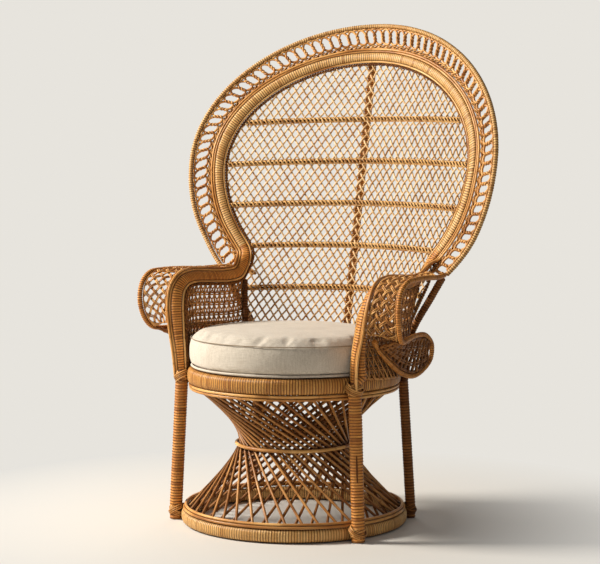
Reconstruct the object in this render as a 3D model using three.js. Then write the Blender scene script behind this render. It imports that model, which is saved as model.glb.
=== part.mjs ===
// A peacock chair in rattan: a cane cage on a round base, a wrapped seat ring and a tall woven fan back.
// Millimetres, +Z up. The sitter faces -Y, and +X is the sitter's left.
import * as THREE from "three";
import { mergeVertices } from "three/addons/utils/BufferGeometryUtils.js";

// Fits: the gap between pieces that touch, and how far a chord may leave a curved sheet
const CLEAR = 0.3;
const SAG = 1.1;
const LAYER_GAP = 1.9;
const TRIM_GAP = 0.9;
const WELD = 0.001;
const RING_STEPS = 32;
const HALF_TURN = 180;
const QUARTER_TURN = 90;
const MOST_HALVINGS = 6;
const probeShare = 0.01;
const mitreShares = { inner: 3.5, outer: 1.25 };

// Base ring on the floor, seat ring under the cushion, and the ring at the waist of the cage
const BASE_OUTER = 325.4;
const BASE_WIDE = 36;
const BASE_HIGH = 38;
const SEAT_OUTER = 307;
const SEAT_WIDE = 36;
const SEAT_HIGH = 46;
const SEAT_TOP = 445.6;
const WAIST_OUTER = 171;
const WAIST_CANE = 10;
const WAIST_LEVEL = 225.7;
const BINDING = 8.4;
const BINDING_INSET = 4;
const DECK_THICK = 30;

// Cage: two families of straight canes that twist opposite ways and kink at the waist
const CAGE_CANES = 40;
const CAGE_CANE_THICK = 4.6;
const CAGE_CANE_WIDE = 7;
const CAGE_HOOP_HIGH = 7;
const UPPER_TWIST = 61;
const LOWER_TWIST = 43;

// How far in the inner family stands at the waist, and the shares of that at the flared ends
const CAGE_NEST = 7.9;
const NEST_SEAT_SHARE = 2.1;
const NEST_BASE_SHARE = 1.9;

// Legs, struts and lashings
const FRONT_LEG = 38;
const REAR_LEG = 30;
const FRONT_LEG_ANGLE = -28.2;
const REAR_LEG_ANGLE = 36.3;
const REAR_LEG_TOP_ANGLE = 40.5;
const KNOT_DROP = 21.6;
const KNOT_LEVEL = SEAT_TOP - KNOT_DROP;
const REAR_LEG_RISE = 24.4;
const REAR_LEG_TOP = SEAT_TOP + REAR_LEG_RISE;
const STRUT = 22;
const SIDE_POST = 18;
const SIDE_POST_ANGLE = 31.5;
const ARM_RISE = 257.4;
const ARM_TOP = SEAT_TOP + ARM_RISE;
const POST_DROP = 31;
const SIDE_POST_TOP = ARM_TOP - POST_DROP;
const TIE_THICK = 3;
const TIE_HIGH = 26;
const TIE_SPREAD_ANGLE = 105;
const TIE_STEPS = 7;
const FOOT_TIE_LEVEL = 27;
const strutShares = { inward: 0.6, drop: 1.4, knee: 0.35, neck: 0.4 };
const POST_BOW_ANGLE = 20;
const postShares = { middle: 0.55, bow: 0.6, across: 0.92, along: 0.045 };

// Cushion: a round boxed pad, flattened at the back where the fan stands
const CUSHION_INSET = 5.6;
const CUSHION_RADIUS = SEAT_OUTER - CUSHION_INSET;
const CUSHION_CUT = 43.4;
const CUSHION_BACK = CUSHION_RADIUS - CUSHION_CUT;
const CUSHION_HIGH = 113;
const CUSHION_CORNERS = 36;
const cushionBackShares = { from: 0.25, to: 0.8 };

// Fan sheet: it leans back, and its sides come forward, more so low down where the arms start
const RIM_CANE = 15;
const FAN_HALF = 525.8;
const FAN_INSET = 121.3;
const FAN_FOOT = SEAT_OUTER - FAN_INSET;
const FAN_LEAN_ANGLE = 11.3;
const FAN_DISH = 159;
const FAN_REACH = 525.8;
const SWEEP_DROP = 45.6;
const SWEEP_RISE = 371.4;
const FAN_SWEEP_TOP = SEAT_TOP + SWEEP_RISE;
const FAN_SWEEP_FOOT = SEAT_TOP - SWEEP_DROP;
const SWEEP_SHARE = 1.587;
const FAN_CURVE = 1.5;

// Ovals of the fan: half width, rise above and drop below its widest level. Each lies inside the last
const RIM_RISE = 408.3;
const RIM_DROP = 478.5;
const RIM_LEVEL = 1036.8;
const BORDER_SIDE = 57.5;
const BORDER_TOP = 71.9;
const BORDER_BOTTOM = 42.1;
const BORDER_LIFT = 4.2;
const BAND_SIDE = 43.1;
const BAND_TOP = 27.1;
const BAND_BOTTOM = 37.8;
const BAND_DROP = 19;
const inside = (edge, [side, top, bottom, lift], bow) => ({
  half: edge.half - side,
  rise: edge.rise - top,
  drop: edge.drop - bottom,
  level: edge.level + lift,
  bow,
});
const bowShares = { rim: 0.955, outer: 0.946, inner: 1.103 };
const RIM = {
  half: FAN_HALF - RIM_CANE / 2,
  rise: RIM_RISE,
  drop: RIM_DROP,
  level: RIM_LEVEL,
  bow: bowShares.rim,
};
const BORDER = [BORDER_SIDE, BORDER_TOP, BORDER_BOTTOM, BORDER_LIFT];
const FRAME_BAND = [BAND_SIDE, BAND_TOP, BAND_BOTTOM, -BAND_DROP];
const OUTER_EDGE = inside(RIM, BORDER, bowShares.outer);
const INNER_EDGE = inside(OUTER_EDGE, FRAME_BAND, bowShares.inner);
const RIM_END = -42;
const HOOP_END = -40;
const HOOP_STEPS = 36;
const BAND_THICK = 17.2;
const BAND_BACK = 5.2;
const PIPING_PAIR = 14;
const PIPING = 6;
const PIPING_SET = -5;

// Woven parts of the fan
const LATTICE_PITCH_X = 29;
const LATTICE_PITCH_Z = 31.75;
const LATTICE_CANE = 5;
const LATTICE_THICK = 4;
const LATTICE_RISE = 3.4;
const LATTICE_FOOT = SEAT_TOP + LATTICE_RISE;
const LOOP_PITCH = 28.8;
const LOOP_CANE = 5.4;
const LOOP_THICK = 4.2;
const LOOP_TABLE_STEPS = 240;
const borderEndShare = 0.97;
const crossingShares = { lean: 0.12, high: 0.74, low: 0.3 };
const EDGE_STEPS = 400;
const EDGE_HALVINGS = 20;
const ROD = 8;
const ROD_TOP = 1159.8;
const ROD_PITCH = 127;
const ROD_COUNT = 5;
const ROD_BOW = 18;
const BRAID_HIGH = 19;
const BRAID_THICK = 3.6;
const BRAID_GAP = 1.5;
const SPINE_WIDE = 27;
const SPINE_THICK = 10;

// Arms: the band runs from the fan forward, turns down at the front corner and meets the leg
const ARM_OUTSET = 13;
const ARM_SPREAD = SEAT_OUTER + ARM_OUTSET;
const ARM_BACK_INSET = 95;
const ARM_BACK = SEAT_OUTER - ARM_BACK_INSET;
const ARM_FRONT_INSET = 150;
const ARM_FRONT = ARM_FRONT_INSET - SEAT_OUTER;
const ARM_HALF = 16;
const ARM_FOOT_HALF = 10;
const ARM_STEPS = 16;
const armWidthShares = { start: 1 / 3, taper: 0.8 };
const ROLL_WIDE = 105;
const ARM_RIM_SPREAD = ARM_SPREAD + ROLL_WIDE;
const ARM_RIM_CANE = 15;
const ARM_RIM_STEPS = 34;
const ROLL_CROWN = 8;
const PANEL_THICK = 5;
const PANEL_BAR = 12;
const PANEL_BACK_ANGLE = 27;
const PANEL_FRONT_ANGLE = -22;
const panelShares = { top: [0.27, 0.56], front: [1, 0.62], foot: 1 / 3 };
const rollShares = { rim: [0.06, 0.395], edge: [0.24, 0.8], crown: [0, -0.6, 0.8], bars: [0.05, 0.14] };
const lobeShares = { above: [0.42, 0.6], below: [0.97, 0.72], bars: [0.1, 0.3] };

const DEGREE = Math.PI / 180;
const chair = new THREE.Group();
const up = new THREE.Vector3(0, 0, 1);

const finish = (color, roughness) => new THREE.MeshStandardMaterial({ color, roughness, metalness: 0 });
const wrapped = finish(0xcd9454, 0.55);
const caneLight = finish(0xe0b878, 0.5);
const caneDark = finish(0x9a6434, 0.6);
const linen = finish(0xd7cdb9, 0.95);

// Keeps only corners and faces, and turns the faces of a closed geometry outwards
function closed(geometry) {
  const bare = new THREE.BufferGeometry();
  bare.setAttribute("position", geometry.getAttribute("position"));
  bare.setIndex(geometry.index);
  const solid = mergeVertices(bare, WELD);
  const index = solid.index.array;
  const corner = (i) => new THREE.Vector3().fromBufferAttribute(solid.attributes.position, index[i]);
  let volume = 0;
  for (let i = 0; i < index.length; i += 3) {
    volume += corner(i).dot(corner(i + 1).cross(corner(i + 2)));
  }
  if (volume < 0) index.reverse();
  solid.computeVertexNormals();
  return solid;
}

function addPiece(name, geometry, material) {
  const mesh = new THREE.Mesh(geometry, material);
  mesh.name = name;
  chair.add(mesh);
}

// Both sides of the chair: the right side as modelled at +X, and its mirror image
function addPair(name, build, material) {
  addPiece(`${name}_left`, build((p) => p), material);
  addPiece(`${name}_right`, build(mirrored), material);
}

const polar = (angle, radius, z = 0) =>
  new THREE.Vector3(radius * Math.cos(angle * DEGREE), radius * Math.sin(angle * DEGREE), z);

const mirrored = (p) => new THREE.Vector3(-p.x, p.y, p.z);
const mix = THREE.MathUtils.lerp;
const between = ([from, to], share) => mix(from, to, share);

// Corners of a round section, first corner on its first axis
function round(corners, radius) {
  return Array.from({ length: corners }, (_, i) => {
    const turn = (2 * Math.PI * i) / corners;
    return [radius * Math.cos(turn), radius * Math.sin(turn)];
  });
}

// A closed body through rings of equally many corners, capped at both ends
function loft(rings) {
  const corners = rings[0].length;
  const index = [];
  for (let i = 0; i + 1 < rings.length; i++) {
    for (let j = 0; j < corners; j++) {
      const a = i * corners + j;
      const b = i * corners + ((j + 1) % corners);
      index.push(a, b, b + corners, a, b + corners, a + corners);
    }
  }
  const last = (rings.length - 1) * corners;
  for (let j = 1; j + 1 < corners; j++) {
    index.push(0, j + 1, j);
    index.push(last, last + j, last + j + 1);
  }
  const geometry = new THREE.BufferGeometry().setFromPoints(rings.flat());
  return closed(geometry.setIndex(index));
}

// How far out a ring's flat facets lie at an angle
function facetRadius(radius, angle) {
  const half = HALF_TURN / RING_STEPS;
  const off = (((angle % (2 * half)) + 2 * half) % (2 * half)) - half;
  return (radius * Math.cos(half * DEGREE)) / Math.cos(off * DEGREE);
}

// A ring around the chair's axis, from a closed profile of radius and height
function turned(profile) {
  const points = [...profile, profile[0]].map(([radius, z]) => new THREE.Vector2(radius, z));
  return closed(new THREE.LatheGeometry(points, RING_STEPS).rotateX(Math.PI / 2));
}

// The rounded section of a core with cane wound round it
const wrapShares = [
  [1, 0.3],
  [1, 0.7],
  [0.78, 1],
  [0.22, 1],
  [0, 0.7],
  [0, 0.3],
  [0.22, 0],
  [0.78, 0],
];
const wrappedRing = (outer, wide, bottom, high) =>
  turned(wrapShares.map(([across, rise]) => [outer - wide + wide * across, bottom + high * rise]));
const caneRing = (radius, level, cane, corners) =>
  turned(round(corners, cane / 2).map(([out, rise]) => [radius + out, level + rise]));

// A rod through the points, cut square at its ends
function rod(points, diameter, corners, steps) {
  const section = new THREE.Shape(round(corners, diameter / 2).map(([x, y]) => new THREE.Vector2(x, y)));
  const extrudePath = new THREE.CatmullRomCurve3(points, false, "centripetal");
  return closed(new THREE.ExtrudeGeometry(section, { steps, bevelEnabled: false, extrudePath }));
}

// A post through the points, its sections all level so that it stands flat, a corner towards the chair
function post(points, diameter, corners, facing, side) {
  const toAxis = HALF_TURN + facing;
  return loft(
    points.map((p) =>
      round(corners, diameter / 2).map((_, i) =>
        side(polar(toAxis + (360 * i) / corners, diameter / 2).add(p)),
      ),
    ),
  );
}

// Section corners set out at a station, along its width and towards its back
const section = (station, corners) =>
  corners.map(([across, back]) =>
    station.at.clone().addScaledVector(station.wide, across).addScaledVector(station.back, back),
  );

// A strand bent at stations on a sheet: at each bend its inner edge is mitred in full, its outer edge less
function strand(stations, corners) {
  const rings = stations.map(({ at, back }, i) => {
    const before = i > 0 ? at.clone().sub(stations[i - 1].at).normalize() : null;
    const after = i + 1 < stations.length ? stations[i + 1].at.clone().sub(at).normalize() : null;
    const arrive = before ?? after;
    const leave = after ?? before;
    const along = arrive.clone().add(leave).normalize();
    const wide = back.clone().cross(along).normalize();
    const stretch = 1 / Math.max(along.dot(arrive), 1 / mitreShares.inner);
    const turn = arrive.clone().cross(leave).dot(back);
    const upright = along.clone().cross(wide).normalize();
    return corners.map(([across, rise]) => {
      const inner = across * turn > 0;
      const reach = across * (inner ? stretch : Math.min(stretch, mitreShares.outer));
      return at.clone().addScaledVector(wide, reach).addScaledVector(upright, rise);
    });
  });
  return loft(rings);
}

// Fan sheet
const fanSweep = (z) =>
  1 + SWEEP_SHARE * THREE.MathUtils.smoothstep(FAN_SWEEP_TOP - z, 0, FAN_SWEEP_TOP - FAN_SWEEP_FOOT);
const fanDepth = (x, z) => FAN_DISH * Math.pow(Math.abs(x) / FAN_REACH, FAN_CURVE) * fanSweep(z);
const fanSheet = (x, z) =>
  new THREE.Vector3(x, FAN_FOOT + z * Math.tan(FAN_LEAN_ANGLE * DEGREE) - fanDepth(x, z), z);

function fanBack(x, z) {
  const across = fanSheet(x + CLEAR, z).sub(fanSheet(x - CLEAR, z));
  const rise = fanSheet(x, z + CLEAR).sub(fanSheet(x, z - CLEAR));
  return rise.cross(across).normalize();
}

// A station on the fan, lifted off the sheet towards its back
function fanStation([x, z], lift) {
  const back = fanBack(x, z);
  return { at: fanSheet(x, z).addScaledVector(back, lift), back, wide: up.clone() };
}

// Stations along a line on the fan, close enough that no chord leaves the sheet by more than SAG
function fanLine(line, lift, from = 0, to = 1, depth = 0) {
  const start = fanStation(line(from), lift);
  const end = fanStation(line(to), lift);
  const half = (from + to) / 2;
  const middle = fanStation(line(half), lift);
  const chord = start.at.clone().add(end.at).multiplyScalar(0.5);
  if (depth > MOST_HALVINGS || (depth > 0 && chord.distanceTo(middle.at) < SAG)) return [start, end];
  return [
    ...fanLine(line, lift, from, half, depth + 1),
    ...fanLine(line, lift, half, to, depth + 1).slice(1),
  ];
}

// A point of one of the fan's ovals: 0 degrees is at +X, 90 at the top
function oval({ half, rise, drop, level, bow }, angle, inset = 0) {
  const lift = Math.sin(angle * DEGREE);
  const height = lift > 0 ? (rise - inset) * lift : -(drop - inset) * Math.pow(-lift, bow);
  return [(half - inset) * Math.cos(angle * DEGREE), level + height];
}

// Frame band: stations along the hoop and along the arm
function hoopStation(angle) {
  const outer = fanSheet(...oval(OUTER_EDGE, angle));
  const inner = fanSheet(...oval(INNER_EDGE, angle));
  const wide = outer.clone().sub(inner);
  const half = (wide.length() - PIPING_PAIR - PIPING) / 2 - CLEAR;
  wide.normalize();
  const middle = oval(INNER_EDGE, angle, -(PIPING + half));
  const back = fanBack(...middle);
  back.addScaledVector(wide, -back.dot(wide)).normalize();
  return { at: inner.addScaledVector(wide, PIPING + CLEAR + half), wide, back, half };
}

const hoopStations = Array.from({ length: HOOP_STEPS + 1 }, (_, i) =>
  hoopStation(mix(HOOP_END, HALF_TURN - HOOP_END, i / HOOP_STEPS)),
);

// Arm line: shares of the arm's spread, reach and height, then the direction of its outer edge
const armShares = [
  [0.981, 0, 1.09, 0.6, -0.55, 0.55],
  [0.972, 0.079, 1.004, 0.5, -0.3, 0.81],
  [0.978, 0.249, 0.975, 0.5, 0, 0.87],
  [0.994, 0.493, 0.989, 0.5, 0, 0.87],
  [1, 0.71, 1, 0.5, -0.1, 0.86],
  [0.994, 0.846, 0.968, 0.55, -0.45, 0.7],
  [0.9875, 0.927, 0.875, 0.7, -0.6, 0.4],
  [0.969, 0.967, 0.742, 0.8, -0.58, 0.1],
  [0.94, 0.989, 0.487, 0.82, -0.57, 0],
  [0.906, 1, 0.237, 0.82, -0.57, 0],
];

// A leg stands against the outside of the base ring, and leans in to the outside of the seat ring
const legLean = (z) => THREE.MathUtils.clamp((z - BASE_HIGH) / (SEAT_TOP - SEAT_HIGH - BASE_HIGH), 0, 1);
const legRadius = (z, leg, angle) =>
  facetRadius(mix(BASE_OUTER, SEAT_OUTER, legLean(z)), angle) + CLEAR + leg / 2;
const legLevels = (top) => [0, BASE_HIGH, SEAT_TOP - SEAT_HIGH, top];
const frontLegPoint = (z) => polar(FRONT_LEG_ANGLE, legRadius(z, FRONT_LEG, FRONT_LEG_ANGLE), z);
const armPlace = (across, along, rise) =>
  new THREE.Vector3(
    across * ARM_SPREAD,
    mix(ARM_BACK, ARM_FRONT, along),
    mix(KNOT_LEVEL, ARM_TOP, rise),
  );

// Half the band's width along the arm: it eases from the hoop's width and narrows towards the knot
function armHalf(from, share) {
  const eased = mix(from, ARM_HALF, Math.min(1, share / armWidthShares.start));
  const narrowing = Math.max(0, (share - armWidthShares.taper) / (1 - armWidthShares.taper));
  return mix(eased, ARM_FOOT_HALF, narrowing);
}

function armStations() {
  const start = hoopStation(HOOP_END);
  const onward = start.back.clone().cross(start.wide);
  start.at.addScaledVector(onward, CLEAR);
  const lead = start.at.clone().addScaledVector(onward, ARM_HALF);
  const leadEdge = lead.clone().addScaledVector(start.wide, ARM_HALF);
  const foot = frontLegPoint(KNOT_LEVEL + CLEAR);
  const [, , , x, y, z] = armShares.at(-1);
  const last = new THREE.Vector3(x, y, z).normalize();
  const middles = armShares.map(([across, along, rise]) => armPlace(across, along, rise));
  const edges = armShares.map(([, , , dx, dy, dz], i) =>
    middles[i].clone().addScaledVector(new THREE.Vector3(dx, dy, dz).normalize(), ARM_HALF),
  );
  const startEdge = start.at.clone().addScaledVector(start.wide, ARM_HALF);
  const middle = new THREE.CatmullRomCurve3([start.at, lead, ...middles, foot], false, "centripetal");
  const edge = new THREE.CatmullRomCurve3(
    [startEdge, leadEdge, ...edges, foot.clone().addScaledVector(last, ARM_HALF)],
    false,
    "centripetal",
  );
  return Array.from({ length: ARM_STEPS + 1 }, (_, i) => {
    if (i === 0) return start;
    const share = i / ARM_STEPS;
    const at = middle.getPoint(share);
    const along = middle.getTangent(share);
    const wide = edge.getPoint(share).sub(at).normalize();
    const back = wide.clone().cross(along).normalize();
    if (i === ARM_STEPS) back.setZ(0).normalize();
    else wide.copy(along.clone().cross(back)).normalize();
    return { at, wide, back, half: armHalf(start.half, share) };
  });
}

const armLine = armStations();
const mirroredStation = ({ at, wide, back, half }) => ({
  at: mirrored(at),
  wide: mirrored(wide),
  back: mirrored(back),
  half,
});

// Seat and base
function makeBase() {
  const seatBottom = SEAT_TOP - SEAT_HIGH;
  const baseBinding = BASE_OUTER - BINDING_INSET * 2 - BINDING / 2;
  const seatBinding = SEAT_OUTER - BINDING_INSET - BINDING / 2;
  const near = BINDING / 2 + CLEAR;
  const far = near + BINDING + CLEAR;
  const ring = (name, radius, level) => addPiece(name, caneRing(radius, level, BINDING, 4), caneLight);
  addPiece("base_ring", wrappedRing(BASE_OUTER, BASE_WIDE, 0, BASE_HIGH), wrapped);
  ring("base_binding_lower", baseBinding, BASE_HIGH + near);
  ring("base_binding_upper", baseBinding, BASE_HIGH + far);
  addPiece("waist_ring", caneRing(WAIST_OUTER - WAIST_CANE / 2, WAIST_LEVEL, WAIST_CANE, 6), caneLight);
  addPiece("seat_ring", wrappedRing(SEAT_OUTER, SEAT_WIDE, seatBottom, SEAT_HIGH), wrapped);
  ring("seat_binding_upper", seatBinding, seatBottom - near);
  ring("seat_binding_lower", seatBinding, seatBottom - far);
  const deckRadius = SEAT_OUTER - SEAT_WIDE - CLEAR;
  const deck = new THREE.CylinderGeometry(deckRadius, deckRadius, DECK_THICK, RING_STEPS);
  deck.rotateX(Math.PI / 2).translate(0, 0, SEAT_TOP - DECK_THICK / 2);
  addPiece("seat_deck", closed(deck), caneDark);
}

// One family of cage canes, carried by a thin hoop at the waist whose top and bottom faces they leave
function cageFamily(nest, hand) {
  const low = BASE_HIGH + CLEAR;
  const high = SEAT_TOP - SEAT_HIGH - CLEAR;
  const inset = TRIM_GAP + CAGE_CANE_THICK / 2;
  const throat = WAIST_OUTER - WAIST_CANE - inset - nest;
  const seatRadius = SEAT_OUTER - BINDING_INSET - BINDING - inset - nest * NEST_SEAT_SHARE;
  const baseRadius = BASE_OUTER - BINDING_INSET * 2 - BINDING - inset - nest * NEST_BASE_SHARE;
  const count = CAGE_CANES * 2;
  const step = 360 / count;
  const points = [];
  const index = [];
  for (let j = 0; j < count; j++) {
    for (const [side, rise] of [[1, 1], [-1, 1], [-1, -1], [1, -1]]) {
      const radius = throat + (side * CAGE_CANE_THICK) / 2;
      points.push(polar(j * step, radius, WAIST_LEVEL + (rise * CAGE_HOOP_HIGH) / 2));
    }
  }
  const quad = (a, b, c, d) => index.push(a, b, c, a, c, d);
  for (let j = 0; j < count; j++) {
    const here = j * 4;
    const next = ((j + 1) % count) * 4;
    quad(here, here + 3, next + 3, next);
    quad(here + 1, next + 1, next + 2, here + 2);
    if (j % 2) {
      quad(here, next, next + 1, here + 1);
      quad(here + 2, next + 2, next + 3, here + 3);
      continue;
    }
    const middle = (j + 0.5) * step;
    const from = polar(middle, throat, WAIST_LEVEL);
    const top = polar(middle - hand * UPPER_TWIST, seatRadius, high);
    const foot = polar(middle + hand * LOWER_TWIST, baseRadius, low);
    cageCane(points, quad, [here, here + 1, next + 1, next], from, top);
    cageCane(points, quad, [next + 3, next + 2, here + 2, here + 3], from, foot);
  }
  const geometry = new THREE.BufferGeometry().setFromPoints(points);
  return closed(geometry.setIndex(index));
}

// A straight cane from four corners of the hoop to its level-cut end
function cageCane(points, quad, root, from, to) {
  const along = to.clone().sub(from).normalize();
  const out = new THREE.Vector3(to.x, to.y, 0).normalize();
  out.addScaledVector(along, -out.dot(along)).normalize();
  const tangent = points[root[3]].clone().sub(points[root[0]]);
  const side = along.clone().cross(out);
  if (side.dot(tangent) < 0) side.negate();
  const first = points.length;
  for (const [across, depth] of [[-1, 1], [-1, -1], [1, -1], [1, 1]]) {
    const corner = to.clone();
    corner.addScaledVector(side, (across * CAGE_CANE_WIDE) / 2);
    corner.addScaledVector(out, (depth * CAGE_CANE_THICK) / 2);
    points.push(corner.addScaledVector(along, (to.z - corner.z) / along.z));
  }
  for (let i = 0; i < 4; i++) {
    const j = (i + 1) % 4;
    quad(root[j], root[i], first + i, first + j);
  }
  quad(first, first + 3, first + 2, first + 1);
}

function makeCage() {
  addPiece("cage_canes_outer", cageFamily(0, 1), caneLight);
  addPiece("cage_canes_inner", cageFamily(CAGE_NEST, -1), caneDark);
}

// Cushion: each level is a share of its outline and of its height
const cushionShares = [
  [0.93, 0],
  [0.965, 0.05],
  [0.985, 0.085],
  [0.99, 0.13],
  [0.998, 0.25],
  [1, 0.42],
  [0.995, 0.6],
  [0.985, 0.69],
  [0.985, 0.74],
  [0.96, 0.8],
  [0.84, 0.88],
  [0.6, 0.955],
  [0.28, 0.995],
];
function cushionOutline(angle) {
  const { from, to } = cushionBackShares;
  const back = THREE.MathUtils.smoothstep(Math.sin(angle * DEGREE), from, to);
  return mix(CUSHION_RADIUS, CUSHION_BACK, back);
}

function makeCushion() {
  const bottom = SEAT_TOP + CLEAR;
  const rings = cushionShares.map(([reach, rise]) =>
    Array.from({ length: CUSHION_CORNERS }, (_, i) => {
      const angle = (2 * HALF_TURN * i) / CUSHION_CORNERS;
      return polar(angle, cushionOutline(angle) * reach, bottom + CUSHION_HIGH * rise);
    }),
  );
  addPiece("cushion", loft(rings), linen);
}

// Legs, the struts above the rear legs, and the posts at the sides of the fan
function rearLegPoint(z) {
  const angle = mix(REAR_LEG_ANGLE, REAR_LEG_TOP_ANGLE, legLean(z));
  return polar(angle, legRadius(z, REAR_LEG, angle), z);
}

function makeLegs() {
  const frontLeg = legLevels(KNOT_LEVEL).map(frontLegPoint);
  const rearLeg = legLevels(REAR_LEG_TOP).map(rearLegPoint);
  addPair("front_leg", (side) => post(frontLeg, FRONT_LEG, 8, FRONT_LEG_ANGLE, side), wrapped);
  addPair("rear_leg", (side) => post(rearLeg, REAR_LEG, 8, REAR_LEG_TOP_ANGLE, side), wrapped);
  addPair("rear_strut", (side) => post(strutPoints(), STRUT, 6, REAR_LEG_TOP_ANGLE, side), wrapped);
  addPair("fan_side_post", (side) => post(sidePoints(), SIDE_POST, 6, SIDE_POST_ANGLE, side), wrapped);
}

// From the top of the rear leg out to the end of the fan's rim
function strutPoints() {
  const { inward, drop, knee, neck } = strutShares;
  const offset = new THREE.Vector3(-inward, -inward, -drop).multiplyScalar(RIM_CANE);
  const top = fanSheet(...oval(RIM, RIM_END)).add(offset);
  const foot = rearLegPoint(REAR_LEG_TOP + CLEAR);
  const bend = foot.clone().lerp(top, knee).addScaledVector(polar(HALF_TURN, STRUT / 2), 1);
  return [foot, bend, top.clone().lerp(bend, neck), top];
}

// Up the outside of the seat ring to the inner edge of the arm
function sidePoints() {
  const { middle, bow, across, along } = postShares;
  const clear = facetRadius(SEAT_OUTER, SIDE_POST_ANGLE) + CLEAR + SIDE_POST / 2;
  const seatSide = (z) => polar(SIDE_POST_ANGLE, clear, z);
  const outward = polar(POST_BOW_ANGLE, SIDE_POST / 2);
  return [
    seatSide(SEAT_TOP - SEAT_HIGH),
    seatSide(SEAT_TOP + SEAT_HIGH),
    seatSide(mix(SEAT_TOP, SIDE_POST_TOP, middle)).addScaledVector(outward, bow),
    armPlace(across, along, (SIDE_POST_TOP - KNOT_LEVEL) / (ARM_TOP - KNOT_LEVEL)),
  ];
}

// Lashings: an open collar round the outside of a leg
function collar(centre, radius, facing) {
  const rings = Array.from({ length: TIE_STEPS + 1 }, (_, i) => {
    const angle = facing + mix(-TIE_SPREAD_ANGLE, TIE_SPREAD_ANGLE, i / TIE_STEPS);
    const out = polar(angle, 1);
    const inner = centre.clone().addScaledVector(out, radius + CLEAR + TRIM_GAP);
    const outer = inner.clone().addScaledVector(out, TIE_THICK);
    const lift = up.clone().multiplyScalar(TIE_HIGH / 2);
    return [
      inner.clone().sub(lift),
      outer.clone().sub(lift),
      outer.clone().add(lift),
      inner.clone().add(lift),
    ];
  });
  return loft(rings);
}

function makeTies() {
  const ties = [
    ["front_foot_tie", frontLegPoint(FOOT_TIE_LEVEL), FRONT_LEG / 2, FRONT_LEG_ANGLE],
    ["rear_foot_tie", rearLegPoint(FOOT_TIE_LEVEL), REAR_LEG / 2, REAR_LEG_ANGLE],
    ["front_knot", frontLegPoint(KNOT_LEVEL - TIE_HIGH / 2), FRONT_LEG / 2, FRONT_LEG_ANGLE],
    ["rear_knot", rearLegPoint(KNOT_LEVEL), REAR_LEG / 2, REAR_LEG_TOP_ANGLE],
  ];
  for (const [name, centre, radius, facing] of ties) {
    addPair(name, (side) => mirrorCollar(side, centre, radius, facing), caneLight);
  }
}

function mirrorCollar(side, centre, radius, facing) {
  const placed = side(centre);
  const turn = placed.x > 0 ? facing : HALF_TURN - facing;
  return collar(placed, radius, turn);
}

// The wrapped band, and the canes along its edges
const bandShares = [
  [-1, 0.5],
  [-0.8, 0],
  [0.8, 0],
  [1, 0.5],
  [0.8, 1],
  [-0.8, 1],
];
const bandSection = (station) =>
  section(
    station,
    bandShares.map(([across, depth]) => [across * station.half, BAND_BACK - BAND_THICK * (1 - depth)]),
  );

function makeBand() {
  addPiece("hoop_band", loft(hoopStations.map(bandSection)), wrapped);
  addPair("arm_band", (side) => loft(armLine.map((station) => bandSection(station).map(side))), wrapped);
}

function makePipings() {
  const arm = armLine.slice(1, -1);
  const left = arm.map(mirroredStation).reverse();
  const line = [...arm.toReversed(), ...hoopStations, ...left.toReversed()];
  const outerShares = [[-1, 0], [-0.5, -1], [0.5, -1], [1, 0], [0, 1]];
  const outer = line.map((station) =>
    section(
      station,
      outerShares.map(([across, depth]) => [
        station.half + TRIM_GAP + (PIPING_PAIR / 2) * (1 + across),
        PIPING_SET + (PIPING / 2) * depth,
      ]),
    ),
  );
  addPiece("outer_piping", loft(outer), caneLight);
  const inner = line.map((station) =>
    section(
      station,
      round(4, PIPING / 2).map(([across, depth]) => [
        across - station.half - TRIM_GAP - PIPING / 2,
        PIPING_SET + depth,
      ]),
    ),
  );
  addPiece("inner_piping", loft(inner), caneLight);
}

function makeRim() {
  const stations = Array.from({ length: HOOP_STEPS + 1 }, (_, i) => {
    const place = oval(RIM, mix(RIM_END, HALF_TURN - RIM_END, i / HOOP_STEPS));
    return fanStation(place, 0);
  });
  addPiece("outer_rim", strand(stations, round(5, RIM_CANE / 2)), wrapped);
}

// Openwork border: two canes wind between rim and band in opposite phase and cross between the loops
function makeBorder() {
  const inset = (RIM_CANE + LOOP_CANE) / 2 + CLEAR;
  const count = loopCount();
  const spot = (turn, rise) => {
    const angle = loopAngle(turn / count);
    const [x0, z0] = oval(OUTER_EDGE, angle, 2 * CLEAR - LOOP_CANE / 2);
    const [x1, z1] = oval(RIM, angle, inset);
    return [mix(x0, x1, rise), mix(z0, z1, rise)];
  };
  const { lean, high: upper, low: lower } = crossingShares;
  const lift = (LOOP_THICK + LAYER_GAP) / 2;
  for (const [name, phase, back] of [["border_cane_front", 0, -lift], ["border_cane_back", 1, lift]]) {
    const stations = [];
    for (let i = 0; i <= count; i++) {
      const high = (i + phase) % 2 === 0;
      stations.push(fanStation(spot(i, high ? 1 : 0), back));
      if (i === count) continue;
      stations.push(fanStation(spot(i + 1 / 2 - lean, high ? upper : lower), back));
      stations.push(fanStation(spot(i + 1 / 2 + lean, high ? lower : upper), back));
    }
    const corners = round(3, LOOP_CANE / 2).map(([x, y]) => [y, back > 0 ? x : -x]);
    addPiece(name, strand(stations, corners), caneLight);
  }
}

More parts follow.
